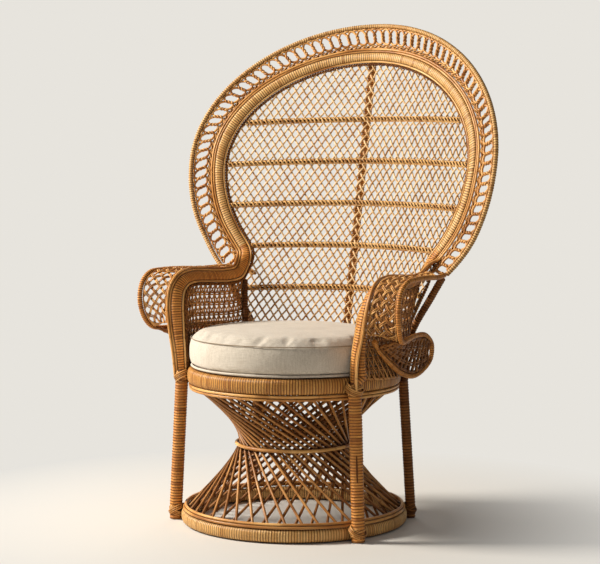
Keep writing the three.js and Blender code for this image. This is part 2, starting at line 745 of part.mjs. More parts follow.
// Turns of equal length round the border: a table of lengths along its middle line
const loopSpan = (share) => mix(RIM_END, HALF_TURN - RIM_END, share);
const loopTable = (() => {
  const lengths = [0];
  const place = (i) => fanSheet(...oval(RIM, loopSpan(i / LOOP_TABLE_STEPS), RIM_CANE * 2));
  for (let i = 1; i <= LOOP_TABLE_STEPS; i++) {
    lengths.push(lengths[i - 1] + place(i).distanceTo(place(i - 1)));
  }
  return lengths;
})();
const loopCount = () => Math.round(loopTable.at(-1) / LOOP_PITCH);
function loopAngle(share) {
  const target = share * loopTable.at(-1);
  const next = Math.max(1, loopTable.findIndex((length) => length >= target - WELD));
  const part = (target - loopTable[next - 1]) / (loopTable[next] - loopTable[next - 1]);
  const angle = loopSpan((next - 1 + part) / LOOP_TABLE_STEPS);
  return mix(QUARTER_TURN, angle, borderEndShare);
}

// Lattice: its half width at a level, inside the inner piping and, low down, between the side posts
const sideShares = [
  [0, 0.995],
  [0.25, 0.995],
  [0.5, 1.03],
  [0.75, 1.1],
  [0.9, 1.17],
  [1, 1.225],
];
function latticeHalf(z) {
  const inset = LATTICE_CANE / 2 + LAYER_GAP + TRIM_GAP * 2;
  const [endX, endZ] = oval(INNER_EDGE, HOOP_END, inset);
  if (z < endZ) {
    const share = (z - LATTICE_FOOT) / (endZ - LATTICE_FOOT);
    const next = Math.max(1, sideShares.findIndex(([rise]) => rise >= share));
    const [rise0, wide0] = sideShares[next - 1];
    const [rise1, wide1] = sideShares[next];
    const wide = mix(wide0, wide1, (share - rise0) / (rise1 - rise0));
    return (endX * wide) / sideShares.at(-1)[1];
  }
  const { half, rise, drop, level, bow } = INNER_EDGE;
  const lift = z > level ? (z - level) / (rise - inset) : Math.pow((level - z) / (drop - inset), 1 / bow);
  return lift < 1 ? (half - inset) * Math.sqrt(1 - lift * lift) : -1;
}

// Where a slanting strand enters and leaves the lattice
function strandEnds(offset, hand) {
  const top = INNER_EDGE.level + INNER_EDGE.rise;
  const slant = (hand * LATTICE_PITCH_X) / LATTICE_PITCH_Z;
  const x = (z) => offset + slant * (z - LATTICE_FOOT);
  const inside = (z) => Math.abs(x(z)) <= latticeHalf(z);
  const levels = Array.from({ length: EDGE_STEPS + 1 }, (_, i) => mix(LATTICE_FOOT, top, i / EDGE_STEPS));
  const within = levels.filter(inside);
  if (within.length < 2) return null;
  const edge = (outside, kept) => {
    let [far, near] = [outside, kept];
    for (let i = 0; i < EDGE_HALVINGS; i++) {
      const middle = (far + near) / 2;
      if (inside(middle)) near = middle;
      else far = middle;
    }
    return near;
  };
  const step = (top - LATTICE_FOOT) / EDGE_STEPS;
  const low = within[0] === LATTICE_FOOT ? LATTICE_FOOT : edge(within[0] - step, within[0]);
  const high = edge(within.at(-1) + step, within.at(-1));
  return high - low > LATTICE_PITCH_Z / 2 ? [[x(low), low], [x(high), high]] : null;
}

// One layer of the lattice: one long cane that runs up and down, turning at the edge
function makeLayer(name, hand, lift) {
  const reach = INNER_EDGE.half + INNER_EDGE.rise + INNER_EDGE.level - LATTICE_FOOT;
  const count = Math.ceil(reach / LATTICE_PITCH_X);
  const stations = [];
  let upward = true;
  for (let k = -count; k <= count; k++) {
    const ends = strandEnds((k + 1 / 2) * LATTICE_PITCH_X, hand);
    if (!ends) continue;
    const [from, to] = upward ? ends : ends.toReversed();
    const line = (share) => [mix(from[0], to[0], share), mix(from[1], to[1], share)];
    stations.push(...fanLine(line, lift));
    upward = !upward;
  }
  const half = LATTICE_THICK / 2;
  const side = Math.sign(lift);
  const corners = [[LATTICE_CANE / 2, -half * side], [-LATTICE_CANE / 2, -half * side], [0, half * side]];
  addPiece(name, strand(stations, corners), caneLight);
}

// Cross rods behind the lattice, the braids over it, and the spine behind the rods
function makeLattice() {
  const lift = (LATTICE_THICK + LAYER_GAP) / 2;
  makeLayer("lattice_front", 1, -lift);
  makeLayer("lattice_back", -1, lift);
  const rodLift = lift + LATTICE_THICK / 2 + LAYER_GAP + ROD / 2;
  const braidLift = -(lift + LATTICE_THICK / 2 + BRAID_GAP + BRAID_THICK / 2);
  const square = [[-1, -1], [1, -1], [1, 1], [-1, 1]];
  const braid = square.map(([a, b]) => [(a * BRAID_HIGH) / 2, (b * BRAID_THICK) / 2]);
  for (let i = 0; i < ROD_COUNT; i++) {
    const level = ROD_TOP - ROD_PITCH * i;
    const half = latticeHalf(level + ROD_BOW) - LAYER_GAP - CLEAR;
    const line = (share) => {
      const x = mix(-half, half, share);
      return [x, level + ROD_BOW * (x / half) ** 2];
    };
    addPiece(`cross_rod_${i + 1}`, strand(fanLine(line, rodLift), round(5, ROD / 2)), caneDark);
    addPiece(`cross_braid_${i + 1}`, strand(fanLine(line, braidLift), braid), caneDark);
  }
  const back = rodLift + ROD / 2 + TRIM_GAP + SPINE_THICK / 2;
  const foot = SEAT_TOP + CLEAR;
  const top = INNER_EDGE.level + INNER_EDGE.rise + BAND_THICK;
  const spine = [foot, top].map((z) => {
    const { at } = fanStation([0, z], back);
    at.z = z;
    const corner = ([a, b]) => new THREE.Vector3((a * SPINE_WIDE) / 2, at.y + (b * SPINE_THICK) / 2, z);
    return square.map(corner);
  });
  addPiece("spine", loft(spine), wrapped);
}

// A curved sheet with a grid of holes: place(u, v) gives its middle, and bars are shares of u and v
function sheet(cols, rows, place, [barU, barV], thick, pierced) {
  const lines = (count, bar) =>
    Array.from({ length: count + 1 }, (_, i) => {
      const middle = mix(bar / 2, 1 - bar / 2, i / count);
      return [middle - bar / 2, middle + bar / 2];
    }).flat();
  const us = lines(cols, barU);
  const vs = lines(rows, barV);
  const points = [];
  for (const u of us) {
    for (const v of vs) {
      const at = place(u, v);
      const alongU = place(u + probeShare, v).sub(place(u - probeShare, v));
      const alongV = place(u, v + probeShare).sub(place(u, v - probeShare));
      const out = alongU.cross(alongV).normalize();
      points.push(at.clone().addScaledVector(out, thick / 2), at.addScaledVector(out, -thick / 2));
    }
  }
  const index = [];
  const solidAt = (i, j) =>
    i >= 0 && j >= 0 && i < us.length - 1 && j < vs.length - 1 && !(pierced && i % 2 && j % 2);
  const corner = (i, j, side) => (i * vs.length + j) * 2 + side;
  const quad = (a, b, c, d) => index.push(a, b, c, a, c, d);
  const wall = (i0, j0, i1, j1) =>
    quad(corner(i0, j0, 0), corner(i0, j0, 1), corner(i1, j1, 1), corner(i1, j1, 0));
  for (let i = 0; i < us.length - 1; i++) {
    for (let j = 0; j < vs.length - 1; j++) {
      if (!solidAt(i, j)) continue;
      quad(corner(i, j, 0), corner(i + 1, j, 0), corner(i + 1, j + 1, 0), corner(i, j + 1, 0));
      quad(corner(i, j, 1), corner(i, j + 1, 1), corner(i + 1, j + 1, 1), corner(i + 1, j, 1));
      if (!solidAt(i, j - 1)) wall(i, j, i + 1, j);
      if (!solidAt(i + 1, j)) wall(i + 1, j, i + 1, j + 1);
      if (!solidAt(i, j + 1)) wall(i + 1, j + 1, i, j + 1);
      if (!solidAt(i - 1, j)) wall(i, j + 1, i, j);
    }
  }
  const geometry = new THREE.BufferGeometry().setFromPoints(points);
  return closed(geometry.setIndex(index));
}

// Arm rim: shares of its spread, reach and height, from the fan's rim over the arm and round its scroll
const armRimShares = [
  [0.941, 0.25, 1.012],
  [0.97, 0.493, 1.012],
  [0.993, 0.737, 1.004],
  [1, 0.886, 0.968],
  [1, 0.981, 0.875],
  [1, 1.024, 0.738],
  [0.99, 0.986, 0.56],
  [0.967, 0.905, 0.452],
  [0.9, 0.656, 0.437],
  [0.83, 0.358, 0.437],
  [0.805, 0.141, 0.409],
  [0.795, 0.019, 0.294],
  [0.785, 0.016, 0.158],
  [0.78, 0.127, 0.06],
  [0.78, 0.309, 0.015],
  [0.78, 0.504, 0.075],
  [0.78, 0.667, 0.187],
  [0.778, 0.824, 0.323],
  [0.785, 0.93, 0.44],
];
const armRimPlace = ([across, along, rise]) =>
  new THREE.Vector3(
    across * ARM_RIM_SPREAD,
    mix(ARM_BACK, ARM_FRONT, along),
    mix(KNOT_LEVEL, ARM_TOP, rise),
  );
const rimStart = fanSheet(...oval(RIM, RIM_END));
const armRimPoints = [
  rimStart.clone().add(new THREE.Vector3(CLEAR, -RIM_CANE, -CLEAR)),
  ...armRimShares.map(armRimPlace),
];
const armRimCurve = new THREE.CatmullRomCurve3(armRimPoints, false, "centripetal");

const armRim = (span, share) => armRimCurve.getPoint(between(span, share));

function makeArms() {
  const rim = (side) => rod(armRimPoints.map(side), ARM_RIM_CANE, 5, ARM_RIM_STEPS);
  const roll = (side) => sheet(6, 2, (u, v) => side(rollPlace(u, v)), rollShares.bars, PANEL_THICK, true);
  const lobe = (side) => sheet(3, 1, (u, v) => side(lobePlace(u, v)), lobeShares.bars, PANEL_THICK, false);
  const bars = [PANEL_BAR / (ARM_BACK - ARM_FRONT), PANEL_BAR / (ARM_TOP - SEAT_TOP)];
  const panel = (side) => sheet(5, 3, (u, v) => side(panelPlace(u, v)), bars, PANEL_THICK, true);
  addPair("arm_rim", rim, wrapped);
  addPair("arm_roll", roll, caneLight);
  addPair("arm_side_panel", lobe, caneDark);
  addPair("arm_inner_panel", panel, caneLight);
}

// The openwork roll from the outer edge of the arm to its rim
const outerLine = new THREE.CatmullRomCurve3(
  armLine.map(({ at, wide, back, half }) =>
    at.clone().addScaledVector(wide, half + CLEAR + PIPING_PAIR).addScaledVector(back, PIPING_SET),
  ),
);
function rollPlace(u, v) {
  const edge = outerLine.getPoint(between(rollShares.edge, u));
  const toRim = armRim(rollShares.rim, u).sub(edge);
  const reach = toRim.length();
  const rimGap = ARM_RIM_CANE / 2 + LAYER_GAP + TRIM_GAP + PANEL_THICK / 2;
  const edgeGap = CLEAR + PANEL_THICK / 2;
  const share = mix(edgeGap / reach, 1 - rimGap / reach, v);
  const crown = new THREE.Vector3(...rollShares.crown).multiplyScalar(ROLL_CROWN * Math.sin(Math.PI * v));
  return edge.addScaledVector(toRim, share).add(crown);
}

// The close weave inside the turned-under end of the rim
function lobePlace(u, v) {
  const above = armRim(lobeShares.above, u);
  const down = armRim(lobeShares.below, u).sub(above);
  const gap = (ARM_RIM_CANE / 2 + LAYER_GAP) / down.length();
  return above.addScaledVector(down, mix(gap, 1 - gap, v));
}

// The caned panel inside the arm: it stands round the seat ring, hangs from the arm and meets its front
const innerLine = new THREE.CatmullRomCurve3(
  armLine.map(({ at, wide, half }) =>
    at.clone().addScaledVector(wide, -(half + CLEAR + PIPING + LAYER_GAP + PANEL_THICK / 2)),
  ),
);
function panelPlace(u, v) {
  const radius = SEAT_OUTER + TRIM_GAP + PANEL_THICK / 2;
  const level = SEAT_TOP - SEAT_HIGH * panelShares.foot;
  const foot = polar(mix(PANEL_BACK_ANGLE, PANEL_FRONT_ANGLE, u), radius, level);
  const place = foot.lerp(innerLine.getPoint(between(panelShares.top, u)), v);
  const front = innerLine.getPoint(between(panelShares.front, v)).setZ(place.z);
  return place.lerp(front, u ** 3 * Math.sin(Math.PI * v));
}

makeBase();
makeCage();
makeCushion();
makeLegs();
makeTies();
makeBand();
makePipings();
makeRim();
makeBorder();
makeLattice();
makeArms();

// The origin lies on the floor under the middle of the whole chair
const middle = new THREE.Box3().setFromObject(chair).getCenter(new THREE.Vector3());
chair.position.y = -middle.y;

export default chair;
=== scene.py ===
"""A rattan peacock chair: cane wrapping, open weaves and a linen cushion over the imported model.

Lengths are in millimetres about the axis of the base ring, as in the solid model, and angles in
degrees. What Blender itself reads, such as lights and textures, is in metres."""
import math

import bmesh
import bpy
import numpy as np
from mathutils import Matrix, Vector


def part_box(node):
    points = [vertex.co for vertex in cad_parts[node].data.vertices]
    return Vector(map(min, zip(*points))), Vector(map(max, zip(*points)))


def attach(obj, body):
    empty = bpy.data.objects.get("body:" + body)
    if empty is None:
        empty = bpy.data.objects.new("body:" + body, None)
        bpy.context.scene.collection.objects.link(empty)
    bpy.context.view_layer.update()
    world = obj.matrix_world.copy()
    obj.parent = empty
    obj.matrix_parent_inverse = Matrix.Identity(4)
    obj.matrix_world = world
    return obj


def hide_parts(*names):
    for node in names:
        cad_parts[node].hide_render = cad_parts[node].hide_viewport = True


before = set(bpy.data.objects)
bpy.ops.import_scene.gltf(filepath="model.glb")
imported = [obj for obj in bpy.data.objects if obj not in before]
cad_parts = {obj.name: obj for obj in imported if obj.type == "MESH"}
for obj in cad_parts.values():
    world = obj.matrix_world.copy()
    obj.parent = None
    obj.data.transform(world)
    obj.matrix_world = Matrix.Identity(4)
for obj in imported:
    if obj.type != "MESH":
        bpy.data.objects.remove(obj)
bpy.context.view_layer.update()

MM = 0.001
AXIS_Y = sum(corner[1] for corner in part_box("base_ring")) / 2
UP = np.array([0.0, 0.0, 1.0])
SIDES = (("left", False), ("right", True))
rng = np.random.default_rng(7)

# Sizes that the solid model has too
BASE_OUTER, BASE_WIDE, BASE_HIGH = 325.4, 36.0, 38.0
SEAT_OUTER, SEAT_WIDE, SEAT_HIGH, SEAT_TOP = 307.0, 36.0, 46.0, 445.6
SEAT_BOTTOM = SEAT_TOP - SEAT_HIGH
RING_SIDES = 32
WAIST_OUTER, WAIST_CANE, WAIST_LEVEL = 171.0, 10.0, 225.7
BINDING, BINDING_INSET = 8.4, 4.0
CAGE_CANES, CAGE_NEST = 40, 7.6
UPPER_TWIST, LOWER_TWIST = 61.0, 43.0
FRONT_LEG, REAR_LEG = 38.0, 30.0
FRONT_LEG_ANGLE, REAR_LEG_ANGLE, REAR_LEG_TOP_ANGLE = -28.2, 36.3, 40.5
KNOT_LEVEL, REAR_LEG_TOP, FOOT_TIE_LEVEL = 424.0, 470.0, 27.0
STRUT, SIDE_POST, SIDE_POST_ANGLE, SIDE_POST_TOP = 22.0, 18.0, 31.5, 672.0
FAN_HALF, FAN_FOOT, FAN_LEAN, FAN_DISH = 525.8, 185.7, math.tan(math.radians(11.3)), 159.0
FAN_SWEEP_TOP, FAN_SWEEP_FOOT, SWEEP_SHARE = 817.0, 400.0, 1.587
RIM = (518.3, 408.3, 478.5, 1036.8, 0.955)
OUTER_EDGE = (460.8, 336.4, 436.4, 1041.0, 0.946)
INNER_EDGE = (417.7, 309.3, 398.6, 1022.0, 1.103)
RIM_CANE, RIM_END, HOOP_END = 15.0, -42.0, -40.0
BAND_THICK, BAND_BACK, PIPING_PAIR, PIPING, PIPING_SET = 17.2, 5.2, 14.0, 6.0, -5.0
CLEAR, TRIM_GAP = 0.3, 0.9
ROD_TOP, ROD_PITCH, ROD_COUNT, ROD_BOW = 1159.8, 127.0, 5, 18.0
SPINE_WIDE, SPINE_THICK, SPINE_TOP = 27.0, 10.0, 1348.5
ARM_SPREAD, ARM_BACK, ARM_FRONT, ARM_TOP, ARM_HALF = 320.0, 212.0, -157.0, 703.0, 16.0
ARM_RIM_SPREAD, ARM_RIM_CANE = 425.0, 15.0
LATTICE_FOOT = 449.0

# Sizes of the canes and their winding, which only the scene shows
CAGE_CANE, LOOP_CANE, LOOP_PITCH = 8.0, 7.4, 28.8
LATTICE_CANE, LATTICE_PITCH_X, LATTICE_PITCH_Z = 5.5, 24.8, 33.4
WRAP_PITCH, RING_PITCH, BAND_PITCH, SPINE_PITCH, ARM_RIM_PITCH = 8.1, 7.4, 7.2, 6.0, 6.4
WRAP_DEPTH, POST_WRAP_DEPTH, BAND_WRAP_DEPTH = 1.3, 1.7, 1.0


# Camera, fitted to the rings and to the mirror symmetry of the chair in the photograph
CAMERA_TURN, CAMERA_TILT, CAMERA_PLACE = 31.125, 4.09, (2.5373, -4.1694, 1.0370)
SENSOR, FOCAL_PIXELS, IMAGE_PIXELS = 36, 1708.7, 600


def add_camera():
    turn, tilt = math.radians(CAMERA_TURN), math.radians(CAMERA_TILT)
    forward = Vector((-math.sin(turn) * math.cos(tilt), math.cos(turn) * math.cos(tilt), -math.sin(tilt)))
    right = Vector((math.cos(turn), math.sin(turn), 0))
    data = bpy.data.cameras.new("camera")
    data.sensor_fit = "HORIZONTAL"
    data.sensor_width = SENSOR
    data.lens = SENSOR * FOCAL_PIXELS / IMAGE_PIXELS
    camera = bpy.data.objects.new("camera", data)
    bpy.context.scene.collection.objects.link(camera)
    place = Matrix((right, right.cross(forward), -forward)).transposed().to_4x4()
    x, y, z = CAMERA_PLACE
    place.translation = (x, y + AXIS_Y, z)
    camera.matrix_world = place
    bpy.context.scene.camera = camera


# Helpers on arrays of points
def unit(v):
    return v / np.maximum(np.linalg.norm(v, axis=-1, keepdims=True), 1e-9)


def mix(a, b, t):
    return a + (b - a) * t


def smooth(t):
    t = np.clip(t, 0, 1)
    return t * t * (3 - 2 * t)


def polar(angle, radius, z=0.0):
    angle, radius, z = np.broadcast_arrays(np.radians(angle), radius, z)
    return np.stack([radius * np.cos(angle), radius * np.sin(angle), z.astype(float)], -1)


def outward(at):
    """The level direction away from the chair's axis."""
    return unit(at * [1, 1, 0])


def flipped(points, flip=True):
    """The points on the chair's other side, if flip says so."""
    return points * np.array([-1.0, 1.0, 1.0]) if flip else points


def tangents(at, closed=False):
    if closed:
        return unit(np.roll(at, -1, 0) - np.roll(at, 1, 0))
    return unit(np.gradient(at, axis=0))


def lengths(at):
    """The length of the path from its start to each point."""
    steps = np.linalg.norm(np.diff(at, axis=0), axis=1)
    return np.concatenate([[0], np.cumsum(steps)])


def resample(step, at, *others):
    """The path and what goes with it, at equal steps along the path."""
    run = lengths(at)
    target = np.linspace(0, run[-1], max(2, int(round(run[-1] / step)) + 1))
    return [np.stack([np.interp(target, run, column) for column in np.asarray(a, float).T], 1)
            for a in (at, *others)]


def curve(points, shares):
    """A centripetal Catmull-Rom curve through the points, at shares of their count."""
    p = np.asarray(points, float)
    p = np.concatenate([[2 * p[0] - p[1]], p, [2 * p[-1] - p[-2]]])
    place = np.clip(np.atleast_1d(shares), 0, 1) * (len(points) - 1)
    first = np.minimum(place.astype(int), len(points) - 2)
    t = (place - first)[:, None]
    p0, p1, p2, p3 = (p[first + i] for i in range(4))
    gap = lambda a, b: np.maximum(np.linalg.norm(b - a, axis=1, keepdims=True) ** 0.5, 1e-4)
    d0, d1, d2 = gap(p0, p1), gap(p1, p2), gap(p2, p3)
    leave = ((p1 - p0) / d0 - (p2 - p0) / (d0 + d1) + (p2 - p1) / d1) * d1
    arrive = ((p2 - p1) / d1 - (p3 - p1) / (d1 + d2) + (p3 - p2) / d2) * d1
    c2 = -3 * p1 + 3 * p2 - 2 * leave - arrive
    c3 = 2 * p1 - 2 * p2 + leave + arrive
    return p1 + leave * t + c2 * t ** 2 + c3 * t ** 3


# Sections and sweeps
def ellipse(half_wide, half_high, corners, power=2.0):
    """A rounded section; a power over 2 makes it squarer."""
    turn = np.arange(corners) * 2 * math.pi / corners
    across, rise = (np.sign(a) * np.abs(a) ** (2 / power) for a in (np.cos(turn), np.sin(turn)))
    return np.stack([half_wide * across, half_high * rise], 1)


def sweep(at, back, section, closed=False, wide=None, shift=0.0, unit_length=1000.0, swell=None):
    """One strand: a section carried along a path. Returns corners, faces and their UVs.
    back is the section's second axis; swell gives each station's outward offset of the section."""
    n, m = len(at), section.shape[-2]
    along = tangents(at, closed)
    if wide is None:
        wide = unit(np.cross(back, along))
        back = unit(np.cross(along, wide))
    section = np.broadcast_to(section, (n, m, 2))
    if swell is not None:
        tangent = np.roll(section, -1, 1) - np.roll(section, 1, 1)
        away = np.stack([tangent[..., 1], -tangent[..., 0]], -1)
        section = section + unit(away) * np.asarray(swell)[:, None, None]
    corners = at[:, None] + wide[:, None] * section[..., :1] + back[:, None] * section[..., 1:]
    rows = n if closed else n - 1
    i, j = np.meshgrid(np.arange(rows), np.arange(m), indexing="ij")
    i2, j2 = (i + 1) % n, (j + 1) % m
    run = lengths(np.concatenate([at, at[:1]])) / unit_length + shift
    girth = np.linalg.norm(np.roll(section[0], -1, 0) - section[0], axis=1)
    around = np.concatenate([[0], np.cumsum(girth)]) * MM
    u0, u1, v0, v1 = run[i], run[i + 1], around[j], around[j + 1]
    order = [i * m + j, i * m + j2, i2 * m + j2, i2 * m + j]
    spots = [(u0, v0), (u0, v1), (u1, v1), (u1, v0)]
    caps = [(0, range(m - 1, -1, -1)), (n - 1, range(m))]
    right_hand = np.mean(np.sum(np.cross(wide, back) * along, axis=1)) > 0
    if not right_hand:
        order, spots, caps = order[::-1], spots[::-1], [(row, face[::-1]) for row, face in caps]
    quads = np.stack(order, -1).reshape(-1, 4)
    uvs = np.stack([c for spot in spots for c in spot], -1)
    faces, face_uvs = list(map(tuple, quads.tolist())), [uvs.reshape(-1, 2)]
    for row, face in [] if closed else caps:
        faces.append(tuple(row * m + k for k in face))
        face_uvs.append(np.tile([run[row], 0.0], (m, 1)))
    return corners.reshape(-1, 3), faces, np.concatenate(face_uvs)


def new_piece(name, corners, faces, material):
    """A Blender mesh object, in metres, from corners about the chair's axis."""
    corners = corners * MM
    corners[:, 1] += AXIS_Y
    mesh = bpy.data.meshes.new(name)
    mesh.from_pydata(corners.tolist(), [], faces)
    mesh.materials.append(material)
    piece = bpy.data.objects.new(name, mesh)
    bpy.context.scene.collection.objects.link(piece)
    return piece


def build(name, parts, material, body="chair_frame", replaces=()):
    """One piece from many strands, riding on a body."""
    faces, start = [], 0
    for corners, part_faces, _ in parts:
        faces += [tuple(k + start for k in face) for face in part_faces]
        start += len(corners)
    piece = new_piece(name, np.concatenate([part[0] for part in parts]), faces, material)
    layer = piece.data.uv_layers.new(name="UVMap")
    layer.data.foreach_set("uv", np.concatenate([part[2] for part in parts]).astype(np.float32).ravel())
    piece.data.shade_smooth()
    piece.data.update()
    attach(piece, body)
    if replaces:
        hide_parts(*replaces)


def pair(name, parts_of, material, replaces=None):
    """The same strands on both sides of the chair."""
    for side, flip in SIDES:
        build(f"{name}_{side}", parts_of(flip), material,
              replaces=[f"{replaces}_{side}"] if replaces else [])


def cane(at, back, size, corners=8, closed=False, flat=1.0, step=None):
    """A peeled cane along a path, its height a share of its width."""
    if step:
        at, back = resample(step, at, back)
    section = ellipse(size / 2, size * flat / 2, corners)
    return sweep(at, back, section, closed, shift=float(rng.uniform(0, 400)))


RIDGE_SHARES = np.array([-1.0, -0.32, -0.05, 0.0, -0.05, -0.32])
RIDGE_UNEVEN = 0.35


def wound(at, back, section, closed=False, wide=None, pitch=WRAP_PITCH, depth=WRAP_DEPTH):
    """A core wound round with a cane strip: each turn is a low ridge."""
    close = lambda a: np.concatenate([a, a[:1]]) if closed else a
    run = lengths(close(at))[-1]
    turns = max(2, int(round(run / pitch)))
    per = len(RIDGE_SHARES)
    varies = section.ndim == 3
    others = [back] if wide is None else [back, wide]
    if varies:
        others.append(section.reshape(len(at), -1))
    at, *others = resample(run / (turns * per), close(at), *map(close, others))
    if varies:
        section = others.pop().reshape(len(at), -1, 2)
    back, *others = (unit(a[:-1] if closed else a) for a in others)
    at = at[:-1] if closed else at
    k = np.arange(len(at))
    uneven = rng.uniform(-RIDGE_UNEVEN, 0.0, turns + 2)[k // per]
    return sweep(at, back, section, closed, others[0] if others else None, unit_length=run / turns,
                 swell=depth * RIDGE_SHARES[k % per] + uneven, shift=float(rng.integers(0, 900)))


# Node trees
class Graph:
    """The node tree of a material or world, with short calls for what is added here."""

    def __init__(self, owner):
        owner.use_nodes = True
        self.tree = owner.node_tree

    def add(self, kind, links=(), **settings):
        """A node, with settings for its own values or its sockets, and links into its sockets."""
        made = self.tree.nodes.new("ShaderNode" + kind)
        for key, value in settings.items():
            if hasattr(made, key):
                setattr(made, key, value)
            else:
                made.inputs[key].default_value = value
        for socket, source in dict(links).items():
            self.feed(made.inputs[socket], source)
        return made

    def feed(self, socket, value):
        """Sets a socket to a number or a colour, or links an output to it."""
        if isinstance(value, (int, float)):
            socket.default_value = value
        elif isinstance(value, tuple):
            socket.default_value = (*value, 1)
        else:
            self.tree.links.new(value, socket)

    def math(self, operation, *values):
        return self.add("Math", dict(enumerate(values)), operation=operation).outputs[0]

    def times(self, a, b):
        return self.math("MULTIPLY", a, b)

    def blend(self, fac, a, b):
        """Colour a passing into colour b."""
        return self.add("Mix", {0: fac, 6: a, 7: b}, data_type="RGBA").outputs[2]

    def span(self, value, low, high):
        """A value brought from low..high to 0..1."""
        return self.add("MapRange", {"Value": value, "From Min": low, "From Max": high}).outputs["Result"]

    def noise(self, vector, scale, detail):
        links = {"Vector": vector, "Scale": scale, "Detail": detail}
        return self.add("TexNoise", links, Roughness=0.5).outputs["Fac"]

    def streaks(self, vector, stretch, detail):
        """Noise stretched along the axes."""
        made = self.add("VectorMath", {0: vector}, operation="MULTIPLY")
        made.inputs[1].default_value = stretch
        return self.noise(made.outputs[0], 1.0, detail)

    def ramp(self, fac, *stops):
        made = self.add("ValToRGB", {0: fac})
        elements = made.color_ramp.elements
        while len(elements) < len(stops):
            elements.new(0.5)
        for element, (at, colour) in zip(elements, stops):
            element.position = at
            element.color = (*colour, 1)
        return made.outputs["Color"]

    def axes(self, vector):
        return self.add("SeparateXYZ", {"Vector": vector}).outputs

    def position(self):
        return self.add("NewGeometry").outputs["Position"]


# Materials
# The colour of painted shade, in crevices between canes and in the grooves between turns of wrapping
CREVICE_SHADE = (0.045, 0.014, 0.004)


def mix_colour(a, b, t):
    return tuple(x + (y - x) * t for x, y in zip(a, b))


def shaded(name, roughness, specular):
    """A new material with its graph and its shader."""
    material = bpy.data.materials.new(name)
    graph = Graph(material)
    shader = graph.tree.nodes["Principled BSDF"]
    shader.inputs["Roughness"].default_value = roughness
    shader.inputs["Specular IOR Level"].default_value = specular
    return material, graph, shader


def finish_surface(graph, shader, tone, height, distance, strength):
    """Gives the shader its colour and its relief; the distance is in metres."""
    graph.feed(shader.inputs["Base Color"], tone)
    made = graph.add("Bump", {"Height": height}, Strength=strength, Distance=distance)
    graph.feed(shader.inputs["Normal"], made.outputs["Normal"])


def stains_and_painted_shade(graph, tone, stain, amount, reach=0.007, depth=0.85):
    """Broad stains over the chair, and painted shade where canes lie within reach of each other."""
    fac = graph.times(graph.span(graph.noise(graph.position(), 9, 3), 0.5, 0.72), amount)
    tone = graph.blend(fac, tone, stain)
    # Painted shade: ambient occlusion darkens the colour towards the crevice colour
    near = graph.add("AmbientOcclusion", samples=4, Distance=reach).outputs["AO"]
    painted_shade_share = graph.math("SUBTRACT", 1.0, graph.span(near, 0.25, 0.95))
    return graph.blend(graph.times(painted_shade_share, depth), tone, CREVICE_SHADE)


def wound_material(name, light, mid, dark, roughness=0.42, gloss=0.26):
    """Cane strip wound round a core: UV x counts the turns, UV y runs round the core in metres."""
    material, graph, shader = shaded(name, roughness, gloss)
    turn, around, _ = graph.axes(graph.add("UVMap").outputs["UV"])
    middle = graph.math("ADD", turn, 0.5)
    number = graph.math("FLOOR", middle)
    each = graph.add("TexWhiteNoise", {"W": number}, noise_dimensions="1D").outputs["Value"]
    tone = graph.ramp(each, (0.0, mix_colour(dark, mid, 0.35)), (0.12, mid),
                      (0.6, mix_colour(mid, light, 0.6)), (1.0, light))
    place = graph.add("CombineXYZ", {"X": graph.times(turn, 7.0), "Y": graph.times(around, 30.0)})
    fibre = graph.noise(place.outputs[0], 1.0, 3)
    tone = graph.blend(graph.span(fibre, 0.42, 0.75), tone, mix_colour(dark, mid, 0.45))
    from_middle = graph.math("ABSOLUTE", graph.math("SUBTRACT", graph.math("FRACT", middle), 0.5))
    gap = graph.span(from_middle, 0.25, 0.38)
    # Painted shade in the groove between turns: the gap is darkened towards the crevice colour
    tone = graph.blend(graph.times(gap, 0.92), tone, mix_colour(dark, CREVICE_SHADE, 0.6))
    tone = stains_and_painted_shade(graph, tone, mix_colour(mid, dark, 0.6), 0.55)
    height = graph.math("SUBTRACT", graph.times(fibre, 0.3), gap)
    finish_surface(graph, shader, tone, height, 0.0006, 0.8)
    return material


def cane_material(name, light, mid, dark, roughness=0.38, stain=0.4, gloss=0.26, reach=0.007):
    """Peeled cane: fibres run along it, its tone drifts, and each strand starts at its own place. Stains
    darken it, and painted shade darkens it where other canes lie within reach, in metres.
    """
    material, graph, shader = shaded(name, roughness, gloss)
    uv = graph.add("UVMap").outputs["UV"]
    drift = graph.streaks(uv, (9, 40, 1), 2)
    fibre = graph.streaks(uv, (30, 1400, 1), 2)
    tone = graph.ramp(drift, (0.30, dark), (0.44, mid), (0.58, mix_colour(mid, light, 0.6)), (0.75, light))
    tone = graph.blend(graph.times(graph.span(fibre, 0.45, 0.8), 0.5), tone, mix_colour(mid, dark, 0.6))
    joint = graph.streaks(uv, (6.5, 0.1, 1), 0)
    from_joint = graph.math("ABSOLUTE", graph.math("SUBTRACT", joint, 0.5))
    tone = graph.blend(graph.times(graph.span(from_joint, 0.012, 0.0), 0.6), tone, dark)
    tone = stains_and_painted_shade(graph, tone, mix_colour(mid, dark, 0.6), stain, reach)
    finish_surface(graph, shader, tone, fibre, 0.0003, 0.5)
    return material


LINEN_THREAD = 0.0022


